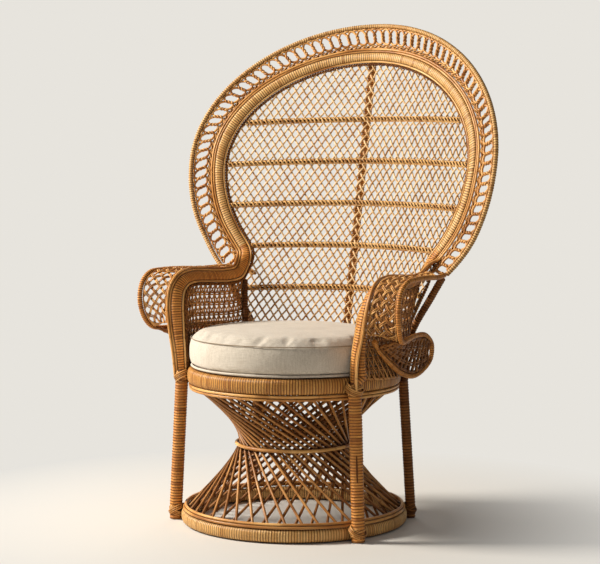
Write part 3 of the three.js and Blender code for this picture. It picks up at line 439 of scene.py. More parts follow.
def linen_material(name, pale, shade):
    """Plain-woven linen: threads of two directions, with slubs."""
    material, graph, shader = shaded(name, 0.92, 0.2)
    place = graph.add("TexCoord").outputs["Object"]
    x, y, z = graph.axes(place)
    wave = lambda axis: graph.math("SINE", graph.times(axis, 2 * math.pi / LINEN_THREAD))
    across = graph.times(wave(x), wave(graph.math("ADD", y, z)))
    slubs = [graph.streaks(place, stretch, 3) for stretch in ((25, 420, 420), (420, 420, 30))]
    weave = graph.math("ADD", graph.times(across, 0.35), graph.math("ADD", *slubs))
    broad = graph.times(graph.noise(place, 14, 3), 0.6)
    fac = graph.span(graph.math("ADD", weave, broad), 0.75, 1.95)
    shader.inputs["Sheen Weight"].default_value = 0.25
    shader.inputs["Sheen Roughness"].default_value = 0.5
    finish_surface(graph, shader, graph.ramp(fac, (0.0, shade), (1.0, pale)), weave, 0.0005, 0.6)
    return material


wrap_gold = wound_material("wrap_gold", (1.0, 0.66, 0.27), (0.90, 0.52, 0.17), (0.30, 0.10, 0.02))
# The seat ring's wrapping: its more saturated orange is its own tone, and its darkening against the gold
# wrapping is painted shade from the cushion above
wrap_honey_shaded = wound_material("wrap_honey_shaded", (0.90, 0.475, 0.13), (0.70, 0.325, 0.075), (0.23, 0.07, 0.013))
wrap_amber = wound_material("wrap_amber", (0.98, 0.45, 0.10), (0.78, 0.305, 0.058), (0.20, 0.058, 0.01), 0.44)
# Darker copies of the wrapping with painted shade: brown for the rear legs and struts under the seat, dark
# for the side posts behind the band
wrap_brown_shaded = wound_material("wrap_brown_shaded", (0.42, 0.175, 0.044), (0.29, 0.11, 0.026), (0.12, 0.038, 0.008),
                            0.5, 0.16)
wrap_dark_shaded = wound_material("wrap_dark_shaded", (0.26, 0.098, 0.024), (0.16, 0.054, 0.012), (0.09, 0.03, 0.007),
                           0.52, 0.14)
cane_straw = cane_material("cane_straw", (0.95, 0.71, 0.39), (0.84, 0.54, 0.25), (0.46, 0.225, 0.07),
                           stain=0.2)
cane_pale = cane_material("cane_pale", (0.92, 0.58, 0.235), (0.78, 0.425, 0.13), (0.38, 0.15, 0.036))
cane_gold = cane_material("cane_gold", (0.90, 0.52, 0.18), (0.66, 0.30, 0.078), (0.30, 0.105, 0.022))
# The outer cage canes: a darker copy of the gold cane with painted shade under the seat, and a wide reach of
# painted shade inside the cage
cane_cage_shaded = cane_material("cane_cage_shaded", (0.74, 0.385, 0.125), (0.50, 0.215, 0.056), (0.23, 0.077, 0.016),
                          reach=0.045)
# The wide reach paints shade on the arms' inner webbing and the lattice's edge canes wherever other canes lie
# near
cane_amber = cane_material("cane_amber", (0.92, 0.47, 0.15), (0.66, 0.29, 0.075), (0.25, 0.082, 0.016),
                           reach=0.07)
# Its 30 mm reach paints shade wherever other canes lie near
cane_brown = cane_material("cane_brown", (0.44, 0.19, 0.05), (0.27, 0.10, 0.024), (0.11, 0.036, 0.008), 0.48,
                           gloss=0.14, reach=0.03)
cane_dark = cane_material("cane_dark", (0.21, 0.076, 0.018), (0.115, 0.038, 0.009), (0.055, 0.018, 0.005),
                          0.55, gloss=0.12)
linen = linen_material("linen", (0.80, 0.73, 0.625), (0.47, 0.40, 0.31))
# The dark cord at the cushion's top seam is painted shade in the seam's crease
seam_shade = linen_material("seam_shade", (0.40, 0.31, 0.21), (0.24, 0.175, 0.11))


# The fan's sheet and its ovals
def hollow(z):
    """How much deeper the sheet's sides come forward at a height than at the top."""
    return 1 + SWEEP_SHARE * smooth((FAN_SWEEP_TOP - z) / (FAN_SWEEP_TOP - FAN_SWEEP_FOOT))


def fan_raw(x, z):
    depth = FAN_DISH * (np.abs(x) / FAN_HALF) ** 1.5 * hollow(z)
    return np.stack([x, FAN_FOOT + z * FAN_LEAN - depth, z], -1)


def fan(x, z, lift=0.0):
    """Points on the fan and the sheet's backward normal there; lift is towards the back."""
    x, z, lift = np.broadcast_arrays(np.asarray(x, float), np.asarray(z, float), np.asarray(lift, float))
    e = 0.5
    across = fan_raw(x + e, z) - fan_raw(x - e, z)
    rise = fan_raw(x, z + e) - fan_raw(x, z - e)
    back = unit(np.cross(rise, across))
    return fan_raw(x, z) + back * lift[..., None], back


def across_sheet(run, level):
    """The place across the fan of a point that lies a given length along its curved sheet."""
    x = np.linspace(0, FAN_HALF * 1.05, 160)
    steep = 1.5 * FAN_DISH / FAN_HALF * np.sqrt(x / FAN_HALF)
    step = np.sqrt(1 + (steep * hollow(level)[:, None]) ** 2) * (x[1] - x[0])
    reach = np.cumsum(step, 1) - step[:, :1]
    return np.sign(run) * np.array([np.interp(abs(r), row, x) for r, row in zip(run, reach)])


def oval(shape, angle, inset=0.0):
    """A place on one of the fan's ovals: half width, rise, drop, level and the bow of its lower half."""
    half, rise, drop, level, bow = shape
    angle = np.radians(angle)
    lift = np.sin(angle)
    height = np.where(lift > 0, (rise - inset) * lift, -(drop - inset) * np.abs(lift) ** bow)
    return (half - inset) * np.cos(angle), level + height


def hoop_frames(count):
    """Stations round the hoop: middle, direction outwards, direction backwards and half width."""
    angle = np.linspace(HOOP_END, 180 - HOOP_END, count)
    outer, _ = fan(*oval(OUTER_EDGE, angle))
    inner, back = fan(*oval(INNER_EDGE, angle))
    wide = outer - inner
    half = (np.linalg.norm(wide, axis=1) - PIPING_PAIR - PIPING) / 2 - CLEAR
    wide = unit(wide)
    back = unit(back - wide * np.sum(back * wide, axis=1, keepdims=True))
    return inner + wide * (PIPING + CLEAR + half)[:, None], wide, back, half


# The arms' lines: shares of the spread, of the way from back to front and of the way from knot to top
# For the band, the direction to its outer edge follows
ARM_SHARES = np.array([
    [0.981, 0, 1.09, 0.6, -0.55, 0.55], [0.972, 0.079, 1.004, 0.5, -0.3, 0.81],
    [0.978, 0.249, 0.975, 0.5, 0, 0.87], [0.994, 0.493, 0.989, 0.5, 0, 0.87],
    [1, 0.71, 1, 0.5, -0.1, 0.86], [0.994, 0.846, 0.968, 0.55, -0.45, 0.7],
    [0.9875, 0.927, 0.875, 0.7, -0.6, 0.4], [0.969, 0.967, 0.742, 0.8, -0.58, 0.1],
    [0.94, 0.989, 0.487, 0.82, -0.57, 0], [0.906, 1, 0.237, 0.82, -0.57, 0],
])
ARM_RIM_SHARES = np.array([
    [0.941, 0.25, 1.02], [0.97, 0.493, 1.035], [0.993, 0.737, 1.038], [1, 0.886, 1.02], [1, 0.985, 0.93],
    [1, 1.024, 0.76], [0.99, 0.986, 0.565], [0.967, 0.905, 0.452], [0.9, 0.656, 0.437], [0.83, 0.358, 0.437],
    [0.805, 0.141, 0.409], [0.795, 0.019, 0.294], [0.785, 0.016, 0.158], [0.78, 0.127, 0.06],
    [0.78, 0.309, 0.015], [0.78, 0.504, 0.075], [0.78, 0.667, 0.187], [0.778, 0.824, 0.323],
    [0.785, 0.93, 0.44],
])
SIDE_POST_SHARES = (0.92, 0.045)
ARM_SINK = 9.0
EASE_STEP, EASE_WIDTH, EASE_SPAN, EASE_REACH, EASE_FADE = 4.0, 18.0, 14, 110, 50
FOOT_TAPER, FOOT_SHARE = 190, 0.62


def arm_place(shares, spread):
    return np.stack([shares[:, 0] * spread, mix(ARM_BACK, ARM_FRONT, shares[:, 1]),
                     mix(KNOT_LEVEL, ARM_TOP, shares[:, 2])], 1)


def leg_lean(z):
    """The share of the way from the base ring to the seat ring."""
    return np.clip((z - BASE_HIGH) / (SEAT_BOTTOM - BASE_HIGH), 0, 1)


def leg_point(z, size, angle):
    """The middle of a leg that stands against the facets of the two rings."""
    half_side = 180 / RING_SIDES
    off = float(np.mean(angle)) % (2 * half_side) - half_side
    facet_share = math.cos(math.radians(half_side)) / math.cos(math.radians(off))
    ring = mix(BASE_OUTER, SEAT_OUTER, leg_lean(z))
    return polar(angle, ring * facet_share + CLEAR + size / 2, z)


def front_leg_point(z):
    return leg_point(z, FRONT_LEG, FRONT_LEG_ANGLE)


def rear_leg_point(z):
    return leg_point(z, REAR_LEG, mix(REAR_LEG_ANGLE, REAR_LEG_TOP_ANGLE, leg_lean(z)))


def arm_frames(count):
    """Stations from the end of the hoop over the arm and down to the front leg, as the solid's."""
    at0, wide0, back0, half0 = (a[0] for a in hoop_frames(3))
    onward = np.cross(back0, wide0)
    start = at0 + onward * CLEAR
    lead = start + onward * ARM_HALF
    foot = front_leg_point(np.array([KNOT_LEVEL + CLEAR]))[0]
    middles = arm_place(ARM_SHARES, ARM_SPREAD)
    middles[:, 2] -= ARM_SINK * smooth((ARM_SHARES[:, 2] - 0.5) / 0.4)
    aims = unit(ARM_SHARES[:, 3:])
    middle = np.array([start, lead, *middles, foot])
    edge = middle + np.array([wide0, wide0, *aims, aims[-1]]) * ARM_HALF
    shares = np.linspace(0, 1, count)
    at = curve(middle, shares)
    along = tangents(at)
    wide = unit(curve(edge, shares) - at)
    back = unit(np.cross(wide, along))
    wide = unit(np.cross(along, back))
    wide[0], back[0] = wide0, back0
    return at, wide, back, mix(half0, ARM_HALF, np.minimum(1, shares * 3))


HOOP = hoop_frames(900)
ARM = arm_frames(500)
ARM_STATIONS = arm_frames(17)
ARM_LENGTH = lengths(ARM[0])[-1]


def blurred(values, weights):
    """Values smoothed along a path, its ends held."""
    span = len(weights) // 2
    held = np.concatenate([np.repeat(values[:1], span, 0), values, np.repeat(values[-1:], span, 0)])
    return sum(w * held[i:i + len(values)] for i, w in enumerate(weights))


def whole_frame():
    """Stations of the band from one front post over the fan to the other, eased at the elbows."""
    far_arm = [flipped(a) if a.ndim == 2 else a for a in ARM]
    joined = [np.concatenate([far[::-1], hoop[:0:-1], arm]) for far, hoop, arm in zip(far_arm, HOOP, ARM)]
    run = lengths(joined[0])
    target = np.linspace(0, run[-1], int(run[-1] / EASE_STEP))
    even = lambda a: np.stack([np.interp(target, run, column) for column in a.T], 1)
    at, wide, back = map(even, joined[:3])
    half = np.interp(target, run, joined[3])
    weights = np.exp(-0.5 * (np.arange(-EASE_SPAN, EASE_SPAN + 1) * EASE_STEP / EASE_WIDTH) ** 2)
    weights /= weights.sum()
    from_elbow = np.minimum(np.abs(target - ARM_LENGTH), np.abs(target - (target[-1] - ARM_LENGTH)))
    share = np.clip((EASE_REACH - from_elbow) / EASE_FADE, 0, 1)[:, None]
    at, wide, back = (mix(a, blurred(a, weights), share) for a in (at, wide, back))
    to_foot = np.minimum(target, target[-1] - target)
    half = blurred(half, weights) * mix(FOOT_SHARE, 1.0, smooth(to_foot / FOOT_TAPER))
    return at, unit(wide), unit(back), half


FRAME_LINE = whole_frame()


# Base and seat
RING_POWER = 2.7
# The binding rings: shifts outwards, how far they settle on each other and tuck under the seat ring
BASE_BINDING_SHIFTS, SEAT_BINDING_SHIFT, BINDING_SETTLE, BINDING_TUCK = (3.0, -1.0), -2.0, 1.0, 1.6
CAGE_HEAD_GAP, CAGE_FOOT_GAP, WAIST_PINCH, WAIST_SPAN = 3.0, 4.0, 0.8, 12.0
SEAT_NEST_SHARE, BASE_NEST_SHARE = 1.6, 1.5
DECK_PITCH, DECK_STRIP, DECK_FLAT, DECK_DEPTH, DECK_SWING = 9.0, 7.6, 0.3, 6.0, 1.5
DECK_STEP, DECK_SHORTEST, DECK_INSET, DECK_END_GAP = 4.5, 12.0, 1.0, 2.0


def ring_path(radius, level, count=256):
    return polar(np.arange(count) * 360 / count, radius, level), np.tile(UP, (count, 1))


def wound_ring(name, outer, wide, bottom, high, material):
    at, back = ring_path(outer - wide / 2, bottom + high / 2)
    section = ellipse(wide / 2, high / 2, 20, RING_POWER)
    part = wound(at, back, section, closed=True, wide=outward(at), pitch=RING_PITCH)
    build(f"{name}_wrapping", [part], material, replaces=[name])


def cane_ring(name, radius, level, size=BINDING, material=cane_gold):
    at, back = ring_path(radius, level)
    build(f"{name}_cane", [cane(at, back, size, 10, closed=True)], material, replaces=[name])


def add_base():
    wound_ring("base_ring", BASE_OUTER, BASE_WIDE, 0, BASE_HIGH, wrap_gold)
    wound_ring("seat_ring", SEAT_OUTER, SEAT_WIDE, SEAT_BOTTOM, SEAT_HIGH, wrap_honey_shaded)
    on_base = BASE_OUTER - BINDING_INSET * 2 - BINDING / 2
    under_seat = SEAT_OUTER - BINDING_INSET - BINDING / 2
    above = BASE_HIGH + BINDING / 2
    below = SEAT_BOTTOM - BINDING / 2 + BINDING_TUCK
    step = BINDING + CLEAR
    cane_ring("base_binding_lower", on_base + BASE_BINDING_SHIFTS[0], above)
    cane_ring("base_binding_upper", on_base + BASE_BINDING_SHIFTS[1], above + step - BINDING_SETTLE)
    cane_ring("seat_binding_upper", under_seat, below)
    cane_ring("seat_binding_lower", under_seat + SEAT_BINDING_SHIFT, below - step)
    cane_ring("waist_ring", WAIST_OUTER - WAIST_CANE / 2, WAIST_LEVEL, WAIST_CANE, cane_pale)


def add_deck():
    """The seat under the cushion: close flat canes over the ring, woven with cross canes."""
    radius = SEAT_OUTER - SEAT_WIDE - DECK_INSET
    count = int(radius / DECK_PITCH)
    parts = []
    for turn in (0, 1):
        for k in range(-count, count + 1):
            off = k * DECK_PITCH
            reach = math.sqrt(radius ** 2 - off ** 2) - DECK_END_GAP
            if reach < DECK_SHORTEST:
                continue
            along = np.arange(-reach, reach, DECK_STEP)
            lift = DECK_SWING * np.cos(math.pi * (along / DECK_PITCH + k + turn))
            at = np.stack([along, np.full_like(along, off), SEAT_TOP - DECK_DEPTH + lift], 1)
            if turn:
                at = at[:, [1, 0, 2]]
            parts.append(cane(at, np.tile(UP, (len(at), 1)), DECK_STRIP, 6, flat=DECK_FLAT))
    build("seat_deck_weave", parts, cane_brown, replaces=["seat_deck"])


def cage_cane(middle, hand, radii):
    """One straight cane from the seat to the waist and on to the base, a little uneven."""
    seat, throat, base = radii
    waist = polar(middle, throat, WAIST_LEVEL)
    share = np.linspace(0, 1, 31)[:, None]
    upper = mix(polar(middle - hand * UPPER_TWIST, seat, SEAT_BOTTOM - CAGE_HEAD_GAP), waist, share)
    lower = mix(waist, polar(middle + hand * LOWER_TWIST, base, BASE_HIGH + CAGE_FOOT_GAP), share)
    at = np.concatenate([upper, lower[1:]])
    bend = np.exp(-((at[:, 2] - WAIST_LEVEL) / WAIST_SPAN) ** 2)[:, None]
    at = at - outward(at) * bend * WAIST_PINCH
    wobble = np.sin(np.linspace(0, 1, len(at)) * math.pi * 2 + rng.uniform(0, 6)) * rng.normal(0, 0.5)
    at = at + np.cross(outward(at), UP) * wobble[:, None]
    return cane(at, outward(at), CAGE_CANE)


def add_cage():
    inset = TRIM_GAP + CAGE_CANE / 2
    for name, nest, hand, material, slot in (("outer", 0.0, 1, cane_cage_shaded, "rattan_light"),
                                             ("inner", CAGE_NEST, -1, cane_brown, "rattan_dark")):
        radii = (SEAT_OUTER - BINDING_INSET - BINDING - inset - nest * SEAT_NEST_SHARE,
                 WAIST_OUTER - WAIST_CANE - inset - nest,
                 BASE_OUTER - BINDING_INSET * 2 - BINDING - inset - nest * BASE_NEST_SHARE)
        parts = [cage_cane((2 * k + 0.5) * 180 / CAGE_CANES + rng.normal(0, 0.25), hand, radii)
                 for k in range(CAGE_CANES)]
        build(f"cage_canes_{name}_round", parts, material, replaces=[f"cage_canes_{name}"])


# Legs and struts
SPLIT_SPAN, SPLIT_ANGLE, SPLIT_WIDE, SPLIT_THICK = (165.0, 239.0), -58.9, 4.0, 2.2
SPLIT_STATIONS, SPLIT_END, SPLIT_BLUNT = 24, 0.12, 0.4
# The upper leg: its sizes as shares of the front leg's, how late it narrows and how soon it moves back
UPPER_LEG_TOP, UPPER_LEG_SHARES, UPPER_LEG_LATE, UPPER_LEG_SOON = 570.0, (0.84, 0.3), 1.3, 5
NECK_RISE, NECK_DROP, NECK_SPAN, NECK_SHARE = 9.0, 8.0, 17.0, 0.45
STRUT_SINK, STRUT_TOP_SHARE, STRUT_KNEE_SHARE, STRUT_HEAD_SHARE = 6.0, 0.6, 0.35, 0.4
SIDE_POST_BEND_SHARES, SIDE_POST_BEND_ANGLE = (0.55, 0.6), 20


def post_pair(name, path, size, material, replaces=None, taper=None):
    """Round posts wound with cane; taper is the share of the size at each place."""
    section = ellipse(size / 2, size / 2, 16)
    if taper is not None:
        section = section[None] * taper[:, None, None]
    forward = np.tile([0.0, -1.0, 0.0], (len(path), 1))
    pair(f"{name}_wound", lambda flip: [wound(flipped(path, flip), forward, section, depth=POST_WRAP_DEPTH)],
         material, replaces)


def upper_leg():
    """The front leg carried on above its knot, behind the band, and drawn out to a point."""
    at, _, back, _ = ARM
    low = (at[:, 2] < UPPER_LEG_TOP) & (np.arange(len(at)) > len(at) / 2)
    rise = (at[low, 2] - KNOT_LEVEL) / (UPPER_LEG_TOP - KNOT_LEVEL)
    taper = mix(*UPPER_LEG_SHARES, np.clip(rise, 0, 1) ** UPPER_LEG_LATE)
    aside = (BAND_BACK + FRONT_LEG / 2 * taper) * smooth(rise * UPPER_LEG_SOON)
    return at[low] + back[low] * aside[:, None], taper


def strut_path(foot):
    """From the rear leg's top up to the end of the fan's rim."""
    top = fan(*oval(RIM, RIM_END))[0] - RIM_CANE * STRUT_TOP_SHARE
    knee = mix(foot, top, STRUT_KNEE_SHARE) - [STRUT / 2, 0, 0]
    head = mix(top, knee, STRUT_HEAD_SHARE)
    return curve([foot - [0, 0, STRUT_SINK], knee, head, top], np.linspace(0, 1, 50))


def side_post_path():
    """From beside the seat ring up to the arm's rear end."""
    beside = lambda z: polar(SIDE_POST_ANGLE, SEAT_OUTER + SIDE_POST / 2, z)
    share = (SIDE_POST_TOP - KNOT_LEVEL) / (ARM_TOP - KNOT_LEVEL)
    rise, aside = SIDE_POST_BEND_SHARES
    bend = beside(mix(SEAT_TOP, SIDE_POST_TOP, rise)) + polar(SIDE_POST_BEND_ANGLE, aside * SIDE_POST / 2)
    end = arm_place(np.array([[*SIDE_POST_SHARES, share]]), ARM_SPREAD)[0]
    return curve([beside(SEAT_BOTTOM), beside(SEAT_TOP + SEAT_HIGH), bend, end], np.linspace(0, 1, 50))


def add_legs():
    level = np.linspace(0, KNOT_LEVEL + NECK_RISE, 90)
    neck = 1 - NECK_SHARE * smooth((level - KNOT_LEVEL + NECK_DROP) / NECK_SPAN)
    post_pair("front_leg", front_leg_point(level), FRONT_LEG, wrap_amber, "front_leg", neck)
    above, taper = upper_leg()
    post_pair("upper_leg", above, FRONT_LEG, wrap_amber, taper=taper)
    rear = rear_leg_point(np.linspace(0, REAR_LEG_TOP, 60))
    post_pair("rear_leg", rear, REAR_LEG, wrap_brown_shaded, "rear_leg")
    post_pair("rear_strut", strut_path(rear[-1]), STRUT, wrap_brown_shaded, "rear_strut")
    post_pair("side_post", side_post_path(), SIDE_POST, wrap_dark_shaded, "fan_side_post")


def add_split():
    """The split in the wrapping of the leg on the right, where the dark core shows."""
    at = front_leg_point(np.linspace(*SPLIT_SPAN, SPLIT_STATIONS))
    aside = polar(SPLIT_ANGLE, FRONT_LEG / 2 - CLEAR)
    slim = np.sin(np.linspace(SPLIT_END, math.pi - SPLIT_END, SPLIT_STATIONS)) ** SPLIT_BLUNT
    section = ellipse(SPLIT_WIDE / 2, SPLIT_THICK / 2, 8)[None] * slim[:, None, None]
    part = sweep(at + aside, np.tile(unit(aside), (SPLIT_STATIONS, 1)), section)
    build("front_leg_split", [part], cane_dark)


# Frame band, pipings and rim
BAND_POWER, KNOT_REACH = 2.6, 9.0
ELBOW_TAILS, ELBOW_LAP, ELBOW_SET, ELBOW_STATIONS = {"left": 22.0, "right": 46.0}, 4.0, 2.0, 18
TWIST_PITCH, TWIST_WIDE, TWIST_DEEP, TWIST_CANE, TWIST_STEP = 17.0, 2.6, 2.4, 5.2, 2.2
ROPE_INSET, ROPE_DEPTH, PIPING_STEP = 3.6, -1.0, 4
# The pipings are a little thicker than in the solid and press into the band
OUTER_PRESS, OUTER_SWELL, INNER_PRESS, INNER_SWELL = 0.5, 0.4, 0.4, 0.6


def band_section(half):
    shape = ellipse(1, 1, 18, BAND_POWER)
    deep = shape[:, 1] * BAND_THICK / 2 + (BAND_BACK - BAND_THICK / 2)
    return np.stack([shape[:, 0] * half[:, None], np.broadcast_to(deep, (len(half), len(shape)))], -1)


def wound_band(name, at, wide, back, half, material, replaces=()):
    part = wound(at, back, band_section(half), wide=wide, pitch=BAND_PITCH, depth=BAND_WRAP_DEPTH)
    build(name, [part], material, replaces=replaces)


def add_band():
    last = len(FRAME_LINE[0])
    turn = np.searchsorted(lengths(FRAME_LINE[0]), ARM_LENGTH)
    for name, keep, material in (("arm_band_right", slice(0, turn + 1), wrap_amber),
                                 ("hoop_band", slice(turn, last - turn), wrap_gold),
                                 ("arm_band_left", slice(last - turn - 1, last), wrap_amber)):
        wound_band(f"{name}_wound", *(a[keep] for a in FRAME_LINE), material, [name])


def add_elbows():
    """The hoop's band and its pipings carried on behind the arm, where the arm's run turns away."""
    at, wide, back, half = (a[0] for a in HOOP)
    size = PIPING_PAIR / 2
    for side, flip in SIDES:
        reach = np.linspace(-ELBOW_LAP, ELBOW_TAILS[side], ELBOW_STATIONS)
        line = at + np.cross(back, wide) * reach[:, None]
        path, across, deep = (flipped(np.broadcast_to(a, line.shape), flip) for a in (line, wide, back))
        wound_band(f"elbow_band_{side}", path, across, deep, np.full(len(line), half - 1), wrap_gold)
        canes = [cane(path + across * (half + size * (0.5 + k)) + deep * (PIPING_SET + ELBOW_SET), deep, size)
                 for k in (0, 1)]
        build(f"elbow_piping_{side}", canes, cane_gold)


def edge_line(across, depth):
    """A line beside the band: its distance beyond the outer edge (or, if negative, the inner edge)."""
    at, wide, back, half = FRAME_LINE
    reach = np.where(across > 0, half + across, across - half)
    line = at + wide * reach[:, None] + back * depth
    ends = line[0] + unit(line[0] - line[2]) * KNOT_REACH, line[-1] + unit(line[-1] - line[-3]) * KNOT_REACH
    return np.concatenate([ends[:1], line, ends[1:]]), np.concatenate([back[:1], back, back[-1:]])


def twisted(line, back, material, name):
    """Two thin canes twisted together along a line."""
    line, back = resample(TWIST_STEP, line, back)
    back = unit(back)
    wide = np.cross(back, tangents(line))
    parts = []
    for phase in (0, math.pi):
        turn = lengths(line) * 2 * math.pi / TWIST_PITCH + phase
        at = line + wide * (TWIST_WIDE * np.sin(turn))[:, None] + back * (TWIST_DEEP * np.cos(turn))[:, None]
        parts.append(cane(at, back, TWIST_CANE, 6))
    build(name, parts, material)


def add_pipings():
    size = PIPING_PAIR / 2
    lines = [edge_line(size * (0.5 + k) - OUTER_PRESS, PIPING_SET) for k in (0, 1)]
    outer = [cane(*line, size + OUTER_SWELL, step=PIPING_STEP) for line in lines]
    build("outer_piping_canes", outer, cane_gold, replaces=["outer_piping"])
    inner = [cane(*edge_line(INNER_PRESS - PIPING / 2, PIPING_SET), PIPING + INNER_SWELL, step=PIPING_STEP)]
    build("inner_piping_cane", inner, cane_pale, replaces=["inner_piping"])
    twisted(*edge_line(-(PIPING + ROPE_INSET), ROPE_DEPTH), cane_brown, "inner_edge_loops")


def add_rim():
    at, back = fan(*oval(RIM, np.linspace(RIM_END, 180 - RIM_END, 900)))
    part = wound(at, back, ellipse(RIM_CANE / 2, RIM_CANE / 2, 12), pitch=BAND_PITCH)
    build("outer_rim_wound", [part], wrap_gold, replaces=["outer_rim"])


# Looped border between the band and the rim
# Half a lobe of a border cane, from the band to the rim: steps along, then share of the way to the rim
RISE_SHARES = np.array([[0.0, 0.17], [0.19, 0.19], [0.37, 0.25], [0.48, 0.33], [0.575, 0.43], [0.50, 0.53],
                        [0.425, 0.63], [0.52, 0.76], [0.64, 0.89], [0.80, 1.0]])
LOOP_SHARES = np.concatenate([RISE_SHARES, [[1, 1.045]], [2, 0] + RISE_SHARES[:0:-1] * [-1, 1]])
LOOP_LEAN, TWIST_SHARES, LIFT_SHARES, BORDER_SHARE = 0.5, (0.345, 0.20), (0.25, 0.85), 0.97
BORDER_MIDDLE, END_SPREAD, LOOP_TUCK, LOOP_PRESS = 30, 13.0, 0.6, 0.1
# Lines of the border: share of the way to the rim, swing in shares, lift and size
LINE_SHARES = ((1.05, 0.0, 2.6, 6.6), (-0.04, 0.0, 2.0, 6.0),
               (0.05, 0.055, 2.4, 4.6), (0.05, -0.055, -2.4, 4.6))


def border_spots():
    """Angles at equal lengths along the middle of the border, and their half pitch count."""
    angle = np.linspace(RIM_END, 180 - RIM_END, 2400)
    run = lengths(fan(*oval(RIM, angle, BORDER_MIDDLE))[0])
    count = round(run[-1] * BORDER_SHARE / LOOP_PITCH)
    ends = run[-1] * (1 - BORDER_SHARE) / 2
    slope = (angle[-1] - angle[0]) / run[-1]

    def angle_at(i):
        along = ends + i / count * (run[-1] - 2 * ends)
        return np.interp(along, run, angle) + (np.minimum(along, 0) + np.maximum(along - run[-1], 0)) * slope
    return angle_at, count


def border_canes(angle, share, lift, size, corners):
    """Canes in the border, where share 0 is at the band and 1 at the rim, cut off where the arm begins."""
    inner, _ = fan(*oval(OUTER_EDGE, angle, LOOP_TUCK - LOOP_CANE / 2))
    outer, back = fan(*oval(RIM, angle, RIM_CANE / 2 + LOOP_CANE / 2 + CLEAR))
    at = mix(inner, outer, share[:, None]) + back * lift[:, None]
    beyond = END_SPREAD * (1 - share)
    inside = (angle > RIM_END - beyond) & (angle < 180 - RIM_END + beyond)
    edges = np.flatnonzero(np.diff(np.concatenate([[0], inside.astype(int), [0]])))
    return [cane(at[a:b], back[a:b], size, corners) for a, b in zip(edges[::2], edges[1::2]) if b - a > 3]


def add_border():
    angle_at, count = border_spots()
    periods = np.arange(-3, count // 2 + 4)
    first, gap = TWIST_SHARES
    for number, side, name in ((0, -1, "border_cane_front"), (1, 1, "border_cane_back")):
        steps = np.concatenate([2 * k + number + LOOP_SHARES[:, 0] for k in periods])
        place = curve(np.stack([steps, np.tile(LOOP_SHARES[:, 1], len(periods)), 0 * steps], 1),
                      np.linspace(0, 1, len(steps) * 5))
        steps, share = place[:, 0], place[:, 1]
        turn = math.pi * (np.clip(share, *LIFT_SHARES) - first) / gap
        lift = side * (LOOP_CANE / 2 - LOOP_PRESS) * np.cos(turn)
        parts = border_canes(angle_at(steps - LOOP_LEAN * (1 - share)), share, lift, LOOP_CANE, 8)
        build(f"border_canes_{number + 1}", parts, cane_gold, replaces=[name])
    add_border_lines(angle_at, count)


def add_border_lines(angle_at, count):
    """A thin cane beside the rim, and three beside the band, two of them twisted, hold the loops."""
    steps = np.linspace(-4, count + 4, int(count * 10))
    turn = 2 * math.pi * steps
    parts = []
    for share, swing, lift, size in LINE_SHARES:
        parts += border_canes(angle_at(steps), share + swing * np.sin(turn), lift * np.cos(turn), size, 6)
    build("border_lines", parts, cane_gold)


# Fan lattice
LATTICE_SIDE_SHARES = np.array([[0, 1.02], [0.25, 1.055], [0.5, 1.145],
                                [0.68, 1.215], [0.83, 1.25], [1, 1.225]])
LATTICE_COUNT, LATTICE_STEP, LATTICE_PRESS, LATTICE_EDGE_TOP = 66, 3.0, 0.7, 772
BAND_INSET, BAND_STEP, SPINE_LIFT = 3.0, 2.4, 13.0
ROD, ROD_LIFT, ROD_LEVELS = 6.4, 4.2, (1.0, 7.5)
EDGE_TWINE, EDGE_TWINE_LIFT, EDGE_TWINE_LEVELS = 3.2, -2.2, (-7.0, 7.0)
TWINE, TWINE_LIFT, TWINE_HIGH, TWINE_DEEP = 4.6, -3.2, 5.6, 2.4


def inner_edge_table(inset):
    """The half width inside the inner piping at each height."""
    x, z = oval(INNER_EDGE, np.linspace(HOOP_END, 90, 1600), inset)
    level = np.arange(LATTICE_FOOT - 4, z.max(), 0.5)
    order = np.argsort(z)
    half = np.interp(level, z[order], x[order])
    low = level < z[0]
    share = (level[low] - LATTICE_FOOT) / (z[0] - LATTICE_FOOT)
    half[low] = x[0] * np.interp(share, *LATTICE_SIDE_SHARES.T) / LATTICE_SIDE_SHARES[-1, 1]
    return level, half


def add_lattice():
    level, half = inner_edge_table(LATTICE_CANE / 2 + TRIM_GAP)
    heights = np.arange(LATTICE_FOOT, level[-1], LATTICE_STEP)
    rise = heights - LATTICE_FOOT
    room = np.interp(heights, level, half)
    for name, hand in (("front", 1), ("back", -1)):
        parts = []
        lift = hand * (LATTICE_CANE / 2 - LATTICE_PRESS) * np.cos(math.pi * rise / (LATTICE_PITCH_Z / 2))
        for k in range(-LATTICE_COUNT, LATTICE_COUNT):
            run = (k + 0.5) * LATTICE_PITCH_X + hand * LATTICE_PITCH_X / LATTICE_PITCH_Z * rise
            x = across_sheet(run, heights)
            inside = np.abs(x) < room
            if inside.sum() < 5:
                continue
            at, back = fan(x[inside], heights[inside], lift[inside])
            parts.append(cane(at, back, LATTICE_CANE * rng.uniform(0.94, 1.04), 7))
        build(f"lattice_{name}_canes", parts, cane_straw, replaces=[f"lattice_{name}"])


def add_lattice_edges():
    """The twisted canes that close the lattice's sides below the hoop."""
    level, half = inner_edge_table(0.0)
    low = level < LATTICE_EDGE_TOP
    for side, hand in (("left", 1), ("right", -1)):
        twisted(*fan(hand * half[low], level[low]), cane_amber, f"lattice_edge_{side}")


